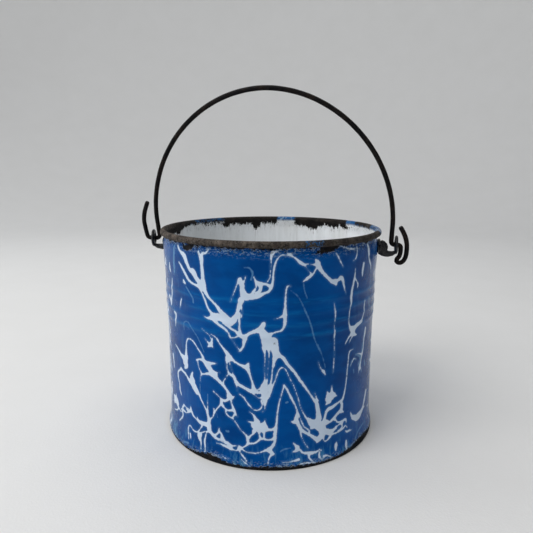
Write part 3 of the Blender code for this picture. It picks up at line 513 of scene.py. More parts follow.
# Enamel left on the rim bead: centre and half width in degrees round the pail, share still covered
BEAD_ENAMEL = ((19.5, 5, 0.36), (84, 14, 0.52), (121, 3.5, 1.0), (169.5, 5, 1.0), (-137, 12, 0.38))

# Bail wire in mm: hooks are (sideways distance, height above the pivot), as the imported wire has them
BAIL_RADIUS = 1.5
BAIL_LEAN_DEG = 14.0
ARCH_HALF_WIDTH = 76.2
ARCH_SPRING_HEIGHT = 13.5
ARCH_RISE = 80.5
ARCH_POWER = 1.95
LEG_RADIUS = 76.0
HOOK_BEND = 2.2
RIGHT_CROSSING_END = 80.0
RIGHT_DROP_BEND = 1.9
LEFT_CROSSING_END = 82.7
RIGHT_HOOK = (
    (81.9, -5.0), (81.4, -7.6), (80.2, -9.4), (80.0, -11.1), (81.7, -12.1), (83.8, -11.0),
    (85.2, -7.9), (85.6, -3.5), (85.4, 0.5), (84.5, 4.5), (82.9, 8.3), (80.9, 11.8),
)
LEFT_HOOK = ((85.4, 7.0), (85.6, 12.0), (84.7, 17.0), (83.0, 21.4), (81.2, 25.2))
BAIL_SIDES = 20
BAIL_STEP = 0.9


# ---------------------------------------------------------------- shader nodes

class Shader:
    """A node material built step by step round one Principled shader."""

    def __init__(self, name):
        self.material = bpy.data.materials.new(name)
        self.material.use_nodes = True
        self.tree = self.material.node_tree
        self.surface = self.tree.nodes["Principled BSDF"]
        self.place = self.tree.nodes.new("ShaderNodeTexCoord").outputs["Object"]

    def set(self, **sockets):
        """Set or link sockets of the Principled shader; underscores stand for spaces."""
        for name, value in sockets.items():
            self.feed(self.surface.inputs[name.replace("_", " ")], value)

    def feed(self, socket, value):
        """Link an output to a socket, or set the socket's own value."""
        if isinstance(value, bpy.types.NodeSocket):
            self.tree.links.new(value, socket)
        elif isinstance(value, tuple) and socket.type == "RGBA":
            socket.default_value = (value[0], value[1], value[2], 1.0)
        else:
            socket.default_value = value

    def attribute(self, name):
        """A number stored on the mesh."""
        node = self.tree.nodes.new("ShaderNodeAttribute")
        node.attribute_name = name
        return node.outputs["Fac"]

    def math(self, operation, *terms):
        """One arithmetic step on two or three terms."""
        node = self.tree.nodes.new("ShaderNodeMath")
        node.operation = operation
        for socket, term in zip(node.inputs, terms):
            self.feed(socket, term)
        return node.outputs["Value"]

    def times(self, first, second):
        """The product of two terms."""
        return self.math("MULTIPLY", first, second)

    def scaled(self, value, factor, plus):
        """value times factor, plus a third term."""
        return self.math("MULTIPLY_ADD", value, factor, plus)

    def noise(self, size_mm, detail=2.0, roughness=0.5, stretch=(1.0, 1.0, 1.0), distortion=0.0):
        """Noise from 0 to 1 with features about size_mm across, smaller along an axis stretched above 1."""
        mapping = self.tree.nodes.new("ShaderNodeMapping")
        self.feed(mapping.inputs["Vector"], self.place)
        mapping.inputs["Scale"].default_value = stretch
        node = self.tree.nodes.new("ShaderNodeTexNoise")
        self.feed(node.inputs["Vector"], mapping.outputs["Vector"])
        self.feed(node.inputs["Scale"], 1.0 / (size_mm * MM))
        self.feed(node.inputs["Detail"], detail)
        self.feed(node.inputs["Roughness"], roughness)
        self.feed(node.inputs["Distortion"], distortion)
        return node.outputs["Fac"]

    def ripple(self, *settings, middle=0.5):
        """Noise that swings round zero."""
        return self.math("SUBTRACT", self.noise(*settings), middle)

    def step(self, value, start, end, low=0.0, high=1.0):
        """Smooth change from low to high as value goes from start to end."""
        node = self.tree.nodes.new("ShaderNodeMapRange")
        node.interpolation_type = "SMOOTHSTEP"
        for socket, term in zip(node.inputs, (value, start, end, low, high)):
            self.feed(socket, term)
        return node.outputs["Result"]

    def spots(self, noise_settings, start, end, low=0.0, high=1.0):
        """Noise sharpened into spots: low below start, high above end."""
        return self.step(self.noise(*noise_settings), start, end, low, high)

    def mix(self, share, first, second):
        """Blend two colours."""
        node = self.tree.nodes.new("ShaderNodeMix")
        node.data_type = "RGBA"
        self.feed(node.inputs[0], share)
        self.feed(node.inputs[6], first)
        self.feed(node.inputs[7], second)
        return node.outputs[2]

    def bump(self, height, depth_mm, normal=None):
        """Surface relief, depth_mm deep where height goes from 0 to 1."""
        node = self.tree.nodes.new("ShaderNodeBump")
        self.feed(node.inputs["Strength"], 1.0)
        self.feed(node.inputs["Distance"], depth_mm * MM)
        self.feed(node.inputs["Height"], height)
        if normal is not None:
            self.feed(node.inputs["Normal"], normal)
        return node.outputs["Normal"]


def iron_color(shader, dark, brown):
    """Worn iron: near black to rusty brown in patches."""
    patches = shader.spots((5.0, 4.0, 0.6), 0.38, 0.68)
    grain = shader.spots((0.7, 3.0, 0.7), 0.3, 0.75, 0.0, 0.6)
    return shader.mix(grain, shader.mix(patches, dark, brown), (0.006, 0.005, 0.005))


def blue_enamel(shader, vein, wobble):
    """The cobalt ground: deep and light clouds, painted highlights on the ribs, wisps, a hazy film with
    painted sheen at the sides, thin milky veins.
    """
    glow = shader.step(vein, 1.3, 0.0, 0.0, 0.12)
    faint = shader.step(shader.scaled(wobble, 0.9, shader.attribute("faint")), 0.4, -0.3, 0.0, 0.38)
    cloud = shader.spots((16.0, 4.0, 0.55, (1.0, 1.0, 2.2)), 0.35, 0.7)
    depth = shader.spots((45.0, 2.0, 0.5), 0.35, 0.65)
    blue = shader.mix(depth, (0.0, 0.042, 0.198), (0.0, 0.062, 0.272))
    blue = shader.mix(shader.times(cloud, 0.4), blue, (0.0, 0.095, 0.36))
    # painted highlight: lighter blue along the rib crests
    crest_highlights = shader.spots((6.0, 4.0, 0.6, (0.35, 0.35, 2.6)), 0.40, 0.66, 0.05, 0.6)
    blue = shader.mix(shader.times(shader.attribute("crest"), crest_highlights), blue, (0.004, 0.150, 0.42))
    wisps = shader.spots((5.0, 5.0, 0.65, (1.0, 1.0, 0.22), 1.5), 0.62, 0.80, 0.0, 0.08)
    blue = shader.mix(wisps, blue, (0.04, 0.30, 0.60))
    # a hazy film low on the wall, plus painted sheen as pale streaks towards both sides
    streaks = shader.spots((2.4, 3.0, 0.6, (1.0, 1.0, 0.2)), 0.50, 0.68)
    blue = shader.mix(shader.times(shader.attribute("foot_haze_and_side_sheen"), streaks), blue, (0.11, 0.37, 0.58))
    return shader.mix(shader.math("MAXIMUM", glow, faint), blue, (0.20, 0.46, 0.72))


def frayed_enamel(shader, enamel, chip):
    """Enamel with broken edges round its chips, and flecks near rim and foot."""
    rim_of_chip = shader.step(chip, 0.75, 0.15, 0.0, 0.75)
    broken = shader.spots((2.6, 2.0), 0.42, 0.6)
    enamel = shader.mix(shader.times(rim_of_chip, broken), enamel, (0.36, 0.42, 0.50))
    frayed_zone = shader.step(shader.attribute("fray"), 0.0, 1.0)
    pale_flecks = shader.spots((1.9, 4.0, 0.75, (0.7, 0.7, 1.5), 1.2), 0.53, 0.58, 0.0, 0.75)
    enamel = shader.mix(shader.times(pale_flecks, frayed_zone), enamel, (0.30, 0.42, 0.56))
    dark_flecks = shader.spots((1.4, 4.0, 0.75, (0.8, 0.8, 1.3)), 0.55, 0.60, 0.0, 0.9)
    enamel = shader.mix(shader.times(dark_flecks, frayed_zone), enamel, (0.018, 0.018, 0.022))
    specks = shader.spots((0.9, 1.0, 0.5), 0.80, 0.84, 0.0, 0.8)
    return shader.mix(specks, enamel, (0.03, 0.04, 0.06))


def swirl_enamel_material():
    """Cobalt enamel with white veins, chipped to the iron at rim and foot."""
    shader = Shader("swirl_enamel")
    wobble = shader.ripple(1.6, 3.0, 0.6)
    vein = shader.scaled(wobble, 0.7, shader.attribute("vein"))
    vein = shader.scaled(shader.ripple(0.9, 3.0, 0.6, (1.0, 1.0, 0.28), middle=0.48), 0.55, vein)
    white = shader.step(vein, 0.12, -0.22)
    milk = shader.mix(shader.noise(7.0, 3.0), (0.50, 0.61, 0.76), (0.68, 0.78, 0.92))
    enamel = shader.mix(white, blue_enamel(shader, vein, wobble), milk)

    chip = shader.scaled(shader.ripple(1.5, 5.0, 0.75), 6.0, shader.attribute("chip"))
    chip = shader.scaled(shader.ripple(0.55, 3.0, 0.7), 1.6, chip)
    bare = shader.step(chip, 0.10, -0.10)
    iron = iron_color(shader, (0.004, 0.0035, 0.003), (0.026, 0.018, 0.013))
    color = shader.mix(bare, frayed_enamel(shader, enamel, chip), iron)

    gloss = shader.spots((9.0, 4.0, 0.6), 0.3, 0.75, 0.14, 0.28)
    gloss = shader.scaled(shader.attribute("foot_haze_and_side_sheen"), 0.2, gloss)
    rough = shader.scaled(bare, 0.5, gloss)
    normal = shader.bump(shader.scaled(bare, -1.0, shader.times(white, 0.12)), 0.22)
    normal = shader.bump(shader.noise(3.4, 2.0, 0.4), 0.05, normal)
    normal = shader.bump(shader.times(bare, shader.noise(0.6, 4.0, 0.7)), 0.3, normal)
    shader.set(Base_Color=color, Roughness=rough, Normal=normal, Specular_IOR_Level=0.16)
    shader.set(Specular_Tint=(0.15, 0.55, 1.0))
    return shader.material


def lining_white(shader):
    """Off-white enamel with runs, stains, painted shade and scratches."""
    runs = shader.spots((4.5, 4.0, 0.55, (1.0, 1.0, 0.12)), 0.42, 0.72)
    stain = shader.spots((24.0, 4.0, 0.6), 0.4, 0.75)
    white = shader.mix(runs, (0.90, 0.93, 0.96), (0.80, 0.83, 0.85))
    white = shader.mix(shader.times(stain, 0.22), white, (0.60, 0.57, 0.51))
    # painted shade: greyer where the shade attribute marks the shaded inside of the wall
    white = shader.mix(shader.times(shader.attribute("shade"), 0.42), white, (0.47, 0.49, 0.49))
    scratch = shader.spots((1.3, 2.0, 0.6, (1.0, 1.0, 0.08)), 0.66, 0.76, 0.0, 0.35)
    return shader.mix(scratch, white, (0.36, 0.35, 0.33))


def bead_iron(shader, black):
    """Brown, ashy and pitted iron of the worn rim bead, with painted shade that turns it black on its shaded
    side.
    """
    worn = iron_color(shader, (0.042, 0.034, 0.028), (0.140, 0.112, 0.092))
    ash = shader.spots((1.4, 5.0, 0.75), 0.50, 0.68, 0.0, 0.6)
    worn = shader.mix(ash, worn, (0.23, 0.205, 0.185))
    pitting = shader.spots((1.3, 4.0, 0.75), 0.52, 0.60, 0.0, 0.9)
    worn = shader.mix(pitting, worn, (0.008, 0.007, 0.006))
    # painted shade: the bead goes black where the dark attribute is high
    return shader.mix(shader.attribute("dark"), worn, black)


def lining_material():
    """Off-white enamel inside, worn rim bead, ragged bare margin below it."""
    shader = Shader("lining_enamel")
    wear = shader.scaled(shader.ripple(1.9, 4.0, 0.7, (1.0, 1.0, 0.3)), 8.5, shader.attribute("wear"))
    wear = shader.scaled(shader.ripple(0.6, 3.0, 0.7, (1.0, 1.0, 0.18)), 6.0, wear)
    patch = shader.scaled(shader.ripple(1.2, 4.0, 0.7), 11.0, shader.attribute("patch"))
    uncovered = shader.step(patch, -0.3, 0.4, 1.0, 0.0)
    bare = shader.times(shader.step(wear, 0.12, -0.12), uncovered)

    crack = shader.spots((0.6, 4.0, 0.7, (1.0, 1.0, 0.08)), 0.57, 0.64)
    near = shader.step(shader.attribute("wear"), 7.5, 0.5, 0.0, 0.8)
    white = shader.mix(shader.times(crack, near), lining_white(shader), (0.10, 0.085, 0.075))
    broken = shader.spots((2.0, 2.0), 0.5, 0.6, 0.0, 0.6)
    white = shader.mix(shader.times(shader.step(wear, 0.9, 0.0), broken), white, (0.34, 0.33, 0.31))
    tint = shader.spots((1.6, 3.0, 0.6), 0.54, 0.64, 0.0, 0.8)
    blue = shader.mix(tint, (0.003, 0.080, 0.24), (0.24, 0.36, 0.48))
    bead = shader.attribute("bead")
    black = iron_color(shader, (0.003, 0.003, 0.003), (0.013, 0.010, 0.008))
    iron = shader.mix(bead, black, bead_iron(shader, black))
    color = shader.mix(bare, shader.mix(bead, white, blue), iron)

    rough = shader.scaled(bare, 0.55, shader.spots((11.0, 3.0), 0.3, 0.75, 0.16, 0.32))
    normal = shader.bump(shader.times(bare, -1.0), 0.25)
    normal = shader.bump(shader.noise(4.0, 2.0, 0.4, (1.0, 1.0, 0.3)), 0.10, normal)
    normal = shader.bump(shader.times(bare, shader.noise(0.8, 4.0, 0.7)), 0.45, normal)
    shader.set(Base_Color=color, Roughness=rough, Normal=normal, Specular_IOR_Level=0.2)
    return shader.material


def underside_material():
    """Dark blue enamel under the pail, worn on the ring it stands on."""
    shader = Shader("underside_enamel")
    cloud = shader.spots((12.0, 4.0, 0.6), 0.35, 0.7)
    blue = shader.mix(cloud, (0.006, 0.06, 0.22), (0.016, 0.12, 0.36))
    web = shader.spots((14.0, 3.0, 0.55, (1.0, 1.0, 1.0), 2.2), 0.60, 0.64)
    enamel = shader.mix(shader.times(web, 0.85), blue, (0.52, 0.58, 0.66))
    wear = shader.scaled(shader.ripple(3.0, 5.0, 0.7), 5.0, shader.attribute("wear"))
    bare = shader.step(wear, 0.15, -0.15)
    color = shader.mix(bare, enamel, iron_color(shader, (0.014, 0.011, 0.010), (0.075, 0.045, 0.025)))
    rough = shader.scaled(bare, 0.5, shader.spots((8.0, 3.0), 0.3, 0.7, 0.2, 0.35))
    normal = shader.bump(shader.times(bare, -1.0), 0.2)
    normal = shader.bump(shader.times(bare, shader.noise(0.8, 4.0, 0.7)), 0.3, normal)
    shader.set(Base_Color=color, Roughness=rough, Normal=normal)
    return shader.material


def black_enamel_material(name, rust_share):
    """Thick black enamel, pitted and worn to brown iron on its edges."""
    shader = Shader(name)
    edge = shader.tree.nodes.new("ShaderNodeNewGeometry").outputs["Pointiness"]
    worn = shader.step(edge, 0.52, 0.60)
    patches = shader.spots((2.2, 4.0, 0.65), 0.48, 0.62)
    bare = shader.times(shader.math("MAXIMUM", worn, rust_share), patches)
    black = shader.mix(shader.noise(1.5, 3.0), (0.004, 0.004, 0.005), (0.010, 0.012, 0.016))
    rust = shader.mix(shader.noise(0.8, 3.0, 0.7), (0.014, 0.011, 0.010), (0.050, 0.040, 0.034))
    rough = shader.scaled(bare, 0.35, shader.spots((1.8, 3.0), 0.3, 0.7, 0.22, 0.42))
    normal = shader.bump(shader.noise(1.1, 4.0, 0.65), 0.16)
    color = shader.mix(bare, black, rust)
    shader.set(Base_Color=color, Roughness=rough, Normal=normal, Specular_IOR_Level=0.35)
    return shader.material


def bail_material():
    """Blackened wire with brown rust and rubbed metal."""
    shader = Shader("bail_wire_black")
    patches = shader.spots((7.0, 5.0, 0.65), 0.40, 0.66)
    fine = shader.spots((0.9, 4.0, 0.7), 0.45, 0.7)
    black = shader.mix(fine, (0.003, 0.003, 0.004), (0.008, 0.007, 0.008))
    brown = shader.mix(fine, (0.010, 0.007, 0.006), (0.028, 0.019, 0.016))
    rubbed = shader.spots((3.0, 3.0, 0.6), 0.62, 0.72, 0.0, 0.4)
    color = shader.mix(rubbed, shader.mix(patches, black, brown), (0.028, 0.025, 0.025))
    rough = shader.spots((2.0, 4.0, 0.6), 0.3, 0.7, 0.28, 0.55)
    normal = shader.bump(shader.noise(1.2, 5.0, 0.7), 0.22)
    shader.set(Base_Color=color, Roughness=rough, Normal=normal, Specular_IOR_Level=0.08)
    return shader.material


def wire_material():
    """Plain drawn wire inside the rim."""
    shader = Shader("rim_wire_iron")
    shader.set(
        Base_Color=iron_color(shader, (0.03, 0.026, 0.022), (0.09, 0.06, 0.04)),
        Roughness=shader.spots((2.0, 3.0), 0.3, 0.7, 0.4, 0.7),
        Normal=shader.bump(shader.noise(0.8, 3.0), 0.1),
        Metallic=0.6,
    )
    return shader.material


def floor_material():
    """Pale matt studio floor."""
    shader = Shader("studio_floor")
    shader.set(
        Base_Color=shader.mix(shader.noise(60.0, 4.0), (0.76, 0.76, 0.75), (0.80, 0.80, 0.795)),
        Roughness=shader.spots((5.0, 3.0), 0.3, 0.7, 0.75, 0.9),
        Normal=shader.bump(shader.noise(1.5, 4.0, 0.6), 0.15),
    )
    return shader.material


# ---------------------------------------------------------------- meshes

def link_object(name, mesh, material):
    """A smooth-shaded mesh as a linked object with one material."""
    mesh.shade_smooth()
    obj = bpy.data.objects.new(name, mesh)
    bpy.context.scene.collection.objects.link(obj)
    mesh.materials.append(material)
    return obj


def grid_mesh(name, points, closed, attributes, material):
    """A lofted surface from rows of points; closed joins the last column to the first."""
    rows, columns, _ = points.shape
    index = np.arange(rows * columns).reshape(rows, columns)
    following = np.roll(index, -1, axis=1)
    if not closed:
        index = index[:, :-1]
        following = following[:, :-1]
    faces = np.stack([index[:-1], following[:-1], following[1:], index[1:]], -1).reshape(-1, 4)
    mesh = bpy.data.meshes.new(name)
    mesh.from_pydata((points.reshape(-1, 3) * MM).tolist(), [], faces.tolist())
    for key, values in attributes.items():
        layer = mesh.attributes.new(key, "FLOAT", "POINT")
        layer.data.foreach_set("value", np.ascontiguousarray(values, dtype=np.float32).reshape(-1))
    return link_object(name, mesh, material)


def grid_columns(count):
    """Azimuths in degrees of columns spaced evenly all round, the first at zero."""
    return np.arange(count) * 360.0 / count


def even_profile(points, spacing):
    """The line through (radius, height) points, resampled evenly."""
    line = np.array(points, dtype=float)
    along = np.concatenate([[0.0], np.cumsum(np.hypot(*np.diff(line, axis=0).T))])
    count = max(2, int(round(along[-1] / spacing)) + 1)
    spot = np.linspace(0.0, along[-1], count)
    return np.stack([np.interp(spot, along, line[:, 0]), np.interp(spot, along, line[:, 1])], -1)


def arc(centre, radius, start_deg, end_deg, steps):
    """Points along a circular arc, both ends included."""
    angles = np.radians(np.linspace(start_deg, end_deg, steps + 1))
    return [(centre[0] + radius * math.cos(a), centre[1] + radius * math.sin(a)) for a in angles]


def eased_shares():
    """Shares from 0 to 1, each with its value on a curve that starts and ends level."""
    shares = [step / EASE_STEPS for step in range(EASE_STEPS + 1)]
    return [(share, 0.5 - 0.5 * math.cos(math.pi * share)) for share in shares]


def spline(a, b, c, d, t):
    """The smooth curve from b to c at t, with a and d as its neighbours."""
    return b + 0.5 * ((c - a) * t + (2 * a - 5 * b + 4 * c - d) * t ** 2 + (3 * b - a - 3 * c + d) * t ** 3)


def rib_crest(height):
    """One on the crest of a rib, zero between ribs."""
    total = np.zeros(np.shape(height))
    for centre in RIB_HEIGHTS:
        share = np.clip(np.abs(height - centre) / RIB_HALF, 0.0, 1.0)
        total = total + (0.5 + 0.5 * np.cos(math.pi * share)) ** 1.5
    return total


def wall_radius(height):
    """Outer radius of the wall at a height, ribs included."""
    heights, radii = zip(*WALL_PROFILE)
    return np.interp(height, heights, radii) + RIB_SWELL * rib_crest(height)


def wall_line(heights, inset=0.0):
    """Points on the wall at some heights, moved inwards by an inset."""
    return [(float(wall_radius(h)) - inset, float(h)) for h in heights]


def ring(profile, azimuths):
    """Turn a profile: rows of points, one column for each azimuth in degrees from the pail's front."""
    turn = np.radians(azimuths + FRONT_DEG)[None, :]
    radius = profile[:, :1]
    height = profile[:, 1:] + np.zeros_like(turn)
    return np.stack([radius * np.cos(turn), radius * np.sin(turn), height], -1)


def push_out(points, distance):
    """Move points away from the upright axis by a distance in mm."""
    radius = np.hypot(points[..., 0], points[..., 1])
    scale = (radius + distance) / np.maximum(radius, 1e-6)
    moved = points.copy()
    moved[..., 0] *= scale
    moved[..., 1] *= scale
    return moved


def waves(azimuth, height, seed, amount, turns, rise=0.0):
    """A gentle uneven swell that closes on itself round the pail."""
    random = np.random.default_rng(seed)
    turn = np.radians(azimuth)
    total = np.zeros(np.broadcast(turn, height).shape)
    for _ in range(6):
        count = random.integers(1, turns + 1)
        slope = random.uniform(-rise, rise)
        phase = random.uniform(0.0, 2.0 * math.pi)
        total = total + np.sin(count * turn + slope * height + phase)
    return amount * total / math.sqrt(6.0)


def dents(azimuth, height):
    """The uneven swell that the outside and the lining of the wall share."""
    return waves(azimuth, height, seed=31, amount=0.10, turns=7, rise=0.03)


def stroke_discs(stroke, spacing):
    """Discs along a smooth curve through a stroke's points: across, up and half width in mm."""
    keys = np.array(stroke, dtype=float)
    keys[:, 0] *= math.radians(1.0) * wall_radius(keys[:, 1])
    padded = np.vstack([keys[:1], keys, keys[-1:]])
    discs = [keys[:1]]
    for i in range(1, len(padded) - 2):
        a, b, c, d = padded[i - 1:i + 3]
        count = max(2, int(math.hypot(*(c - b)[:2]) / spacing))
        discs.append(spline(a, b, c, d, np.linspace(0.0, 1.0, count + 1)[1:, None]))
    discs = np.vstack(discs)
    discs[:, 2] = np.maximum(discs[:, 2], 0.05)
    return discs


def stroke_field(across, up, strokes, blend, reach):
    """Distance in mm to the nearest stroke, negative inside, with rounded junctions."""
    total = np.full(across.shape, math.exp(-reach / blend))
    for stroke in strokes:
        discs = stroke_discs(stroke, spacing=0.4)
        margin = reach + discs[:, 2].max()
        near = (across > discs[:, 0].min() - margin) & (across < discs[:, 0].max() + margin)
        near &= (up > discs[:, 1].min() - margin) & (up < discs[:, 1].max() + margin)
        if not near.any():
            continue
        gap = np.hypot(across[near][:, None] - discs[:, 0], up[near][:, None] - discs[:, 1]) - discs[:, 2]
        total[near] += np.exp(-np.minimum(gap.min(axis=1), reach) / blend)
    return -blend * np.log(total)


def web_seeds(girth):
    """Middles of the net's cells in mm, larger towards the rim, repeated past both ends of the girth."""
    random = np.random.default_rng(RANDOM_SEED)
    seeds = []
    row = NET_BOTTOM
    while row < NET_TOP:
        share = np.clip(row / RIM_HEIGHT, 0.0, 1.0)
        count = int(girth / (NET_CELL_WIDTH + NET_CELL_GROWTH * share))
        for i in range(count):
            x = (i + random.uniform(0.1, 0.9)) * girth / count - girth / 2.0
            seeds.append((x, row + random.uniform(-4.0, 4.0)))
        row += NET_ROW_STEP + NET_ROW_STEP * share
    seeds = np.array(seeds)
    seeds = np.vstack([seeds, seeds + [girth, 0.0], seeds - [girth, 0.0]])
    return seeds[np.abs(seeds[:, 0]) < girth / 2.0 + NET_OVERLAP]


def web_field(azimuth, height):
    """Distance in mm to an irregular net of veins that closes round the pail, negative inside."""
    girth = 2.0 * math.pi * wall_radius(60.0)
    across = np.radians(azimuth) * girth / (2.0 * math.pi)
    across = across + waves(azimuth, height, seed=11, amount=5.0, turns=9, rise=0.10)
    across = across + waves(azimuth, height, seed=12, amount=1.6, turns=34, rise=0.45)
    up = height + waves(azimuth, height, seed=13, amount=5.5, turns=12, rise=0.05)
    up = up + waves(azimuth, height, seed=14, amount=1.3, turns=38, rise=0.35)
    across = across + NET_LEAN * up
    flat_across = across.reshape(-1)
    flat_up = up.reshape(-1) * NET_SQUEEZE
    spots = web_seeds(girth) * [1.0, NET_SQUEEZE]
    field = np.empty(flat_across.shape)
    for start in range(0, len(flat_across), NET_CHUNK):
        x = flat_across[start:start + NET_CHUNK, None]
        y = flat_up[start:start + NET_CHUNK, None]
        square = (x - spots[:, 0]) ** 2 + (y - spots[:, 1]) ** 2
        order = np.argpartition(square, NET_NEIGHBOURS, axis=1)[:, :NET_NEIGHBOURS]
        near = np.take_along_axis(square, order, axis=1)
        first = near.argmin(axis=1)
        rows = np.arange(len(near))
        home = spots[order[rows, first]]
        best = near[rows, first][:, None]
        span = np.hypot(spots[order][..., 0] - home[:, None, 0], spots[order][..., 1] - home[:, None, 1])
        edge = (near - best) / (2.0 * np.maximum(span, 1e-3))
        edge[rows, first] = NET_FAR    # a cell has no edge with itself
        field[start:start + NET_CHUNK] = -NET_SOFTNESS * np.log(np.exp(-edge / NET_SOFTNESS).sum(axis=1))
    width = NET_HALF_WIDTH + waves(azimuth, height, seed=15, amount=0.5, turns=26, rise=0.14)
    width = width + waves(azimuth, height, seed=16, amount=0.35, turns=9, rise=0.05)
    return field.reshape(across.shape) - np.clip(width, *NET_WIDTH_RANGE)


def round_interp(azimuth, table):
    """Interpolate a table of (degrees, value) round the pail."""
    turned = (azimuth + 180.0) % 360.0 - 180.0
    return np.interp(turned, *zip(*table))


def soft_min(first, second, blend):
    """The smaller of two fields with a rounded join."""
    return -blend * np.log(np.exp(-first / blend) + np.exp(-second / blend))


def ramp(value, start, length):
    """Share from 0 to 1 as value goes from start over a length."""
    return np.clip((value - start) / length, 0.0, 1.0)


def skin_profile():
    """Outer surface from the foot ring to the neck under the rim bead."""
    line = [(FOOT_INNER_EDGE, FOOT_LIFT), (FOOT_FLAT_START, 0.0), (FOOT_FLAT_END, 0.0)]
    line += arc((FOOT_FLAT_END, FOOT_BEND), FOOT_BEND, -80.0, 0.0, 4)
    line += FOOT_FOLD
    line += wall_line(np.arange(WALL_PROFILE[0][0], NECK_START, 0.5))
    for share, ease in eased_shares():
        radius = SHOULDER_RADIUS + (NECK_RADIUS - SHOULDER_RADIUS) * ease
        line.append((radius, NECK_START + (NECK_TOP - NECK_START) * share))
    return even_profile(line, SKIN_STEP)


def build_skin(name, start_deg, end_deg, columns, material):
    """Part of the enamelled outside, from one azimuth to another."""
    profile = skin_profile()
    azimuth = np.linspace(start_deg, end_deg, columns + 1)[None, :]
    height = profile[:, 1:]
    across = np.radians(azimuth) * wall_radius(height)
    up = height + np.zeros_like(azimuth)
    around = azimuth + np.zeros_like(height)

    turned = np.abs((around + 180.0) % 360.0 - 180.0)
    in_front = np.clip((FRONT_REACH_DEG - turned) / FRONT_BLEND_DEG, 0.0, 1.0)
    drawn = stroke_field(across, up, VEINS, FIELD_BLEND, FIELD_REACH)
    hidden = (FIELD_REACH + 1.0) * in_front
    vein = soft_min(drawn, web_field(around, up) + hidden, FIELD_BLEND)
    faint = stroke_field(across, up, FAINT_VEINS, 0.3, 5.0)

    foot = up - round_interp(around, FOOT_WEAR)
    rim = ENAMEL_TOP - up + waves(around, up, seed=21, amount=0.45, turns=60)
    chip = np.minimum(np.minimum(stroke_field(across, up, CHIPS, 0.4, FIELD_REACH), foot), rim)
    fray = np.maximum(1.0 - rim / FRAY_BELOW_RIM, np.minimum(1.0 - foot / FRAY_ABOVE_FOOT, 0.7))
    # a hazy film near the foot, plus painted sheen that grows beyond 40 degrees from the front
    foot_haze_and_side_sheen = np.clip(1.0 - up / HAZE_ABOVE_FOOT, 0.0, 1.0) * 0.5 + ramp(turned, 40.0, 30.0) * 0.22

    # relief eases in over 0.6 to 3 mm, so that chips and veins have soft edges and the ends stay in place
    sunk = np.clip(-chip / 0.6, 0.0, 1.0) * CHIP_DEPTH
    raised = np.clip(-vein / 0.8, 0.0, 1.0) * VEIN_RELIEF
    fade = np.clip(up / 3.0, 0.0, 1.0) * np.clip((NECK_TOP - up) / 3.0, 0.0, 1.0)
    relief = (dents(around, up) + raised) * fade - sunk * np.clip(up / 0.6, 0.0, 1.0)
    fields = {"vein": np.clip(vein, -3, 3), "faint": np.clip(faint, -3, 3), "chip": np.clip(chip, -4, 4),
              "fray": np.clip(fray, 0.0, 1.0), "foot_haze_and_side_sheen": foot_haze_and_side_sheen, "crest": rib_crest(up)}
    return grid_mesh(name, push_out(ring(profile, azimuth[0]), relief), False, fields, material)


def lining_profile():
    """Rim bead, inner wall and top of the bottom disc."""
    centre = (RIM_RADIUS - ROLL_RADIUS, RIM_HEIGHT - ROLL_RADIUS)
    start = even_profile(arc(centre, BEAD_RADIUS, -118.0, 180.0, 28), BEAD_STEP)
    widening = SHOULDER_RADIUS - SHEET - centre[0] + BEAD_RADIUS
    line = [(centre[0] - BEAD_RADIUS + widening * ease, centre[1] - NECK_DROP * share)
            for share, ease in eased_shares()[1:]]
    line += wall_line(np.arange(121.0, 100.0, -1.0), SHEET)
    line += wall_line(np.arange(100.0, 9.9, -1.6), SHEET)
    line += [(66.2, 8.0), (66.1, 7.0)]
    line += arc(DISC_FILLET_CENTRE, DISC_FILLET, 0.0, -90.0, 5)
    line += [(radius, DISC_TOP) for radius in (63.0, 60.0, 52.0, 42.0, 30.0, 18.0, 8.0, 0.01)]
    return np.vstack([start, np.array(line)])


def build_lining(material):
    """Rim bead and white inside of the pail."""
    profile = lining_profile()
    azimuth = grid_columns(LINING_COLUMNS) - 180.0
    height = profile[:, 1:] + np.zeros_like(azimuth)[None, :]
    around = azimuth[None, :] + np.zeros_like(height)
    radius = profile[:, :1] + np.zeros_like(height)
    on_bead = np.maximum(ramp(height, 127.0, 0.5), ramp(radius, 67.2, 0.4) * (height > 125.5))
    # the lower outside of the bead is bare all round
    wear = (RIM_HEIGHT - height) - round_interp(around, LINING_WEAR)
    wear = np.where((radius > SHOULDER_RADIUS) & (height < 128.5), WORN_THROUGH, wear)
    patch = np.full(height.shape, NO_PATCH)
    for centre, half, share in BEAD_ENAMEL:
        apart = np.abs((around - centre + 180.0) % 360.0 - 180.0)
        cover = 2.0 * np.clip(half - apart, -4.0, 1.0) + (share - 0.75) * 6.0
        patch = np.maximum(patch, np.where(height > 125.0, cover, NO_PATCH))
    # painted shade: the wall shades its left inside; the bead is painted darkest at the back and dim at the
    # front right
    shade = np.clip(0.40 - 0.60 * np.sin(np.radians(around)), 0.0, 1.0)
    dark = np.clip((np.abs(around) - 85.0) / 30.0, 0.0, 0.85)
    dark = np.maximum(dark, np.clip((around - 2.0) / 30.0, 0.0, 0.5) * (around < 100.0))

    swell = dents(around, height) * ramp(height, 8.0, 4.0)
    swell = swell + waves(around, height, seed=41, amount=0.07, turns=50) * on_bead
    sunk = np.clip(-wear / 0.8, 0.0, 1.0) * LINING_WEAR_DEPTH * (patch < 0)
    inward = np.where(on_bead > 0.5, -1.0, 1.0)
    points = push_out(ring(profile, azimuth), swell * (height > 8.0) + sunk * inward)
    fields = {"wear": np.clip(wear, -5, 8), "patch": patch, "bead": on_bead, "shade": shade, "dark": dark}
    return grid_mesh("rim_and_lining", points[::-1], True, {k: v[::-1] for k, v in fields.items()}, material)


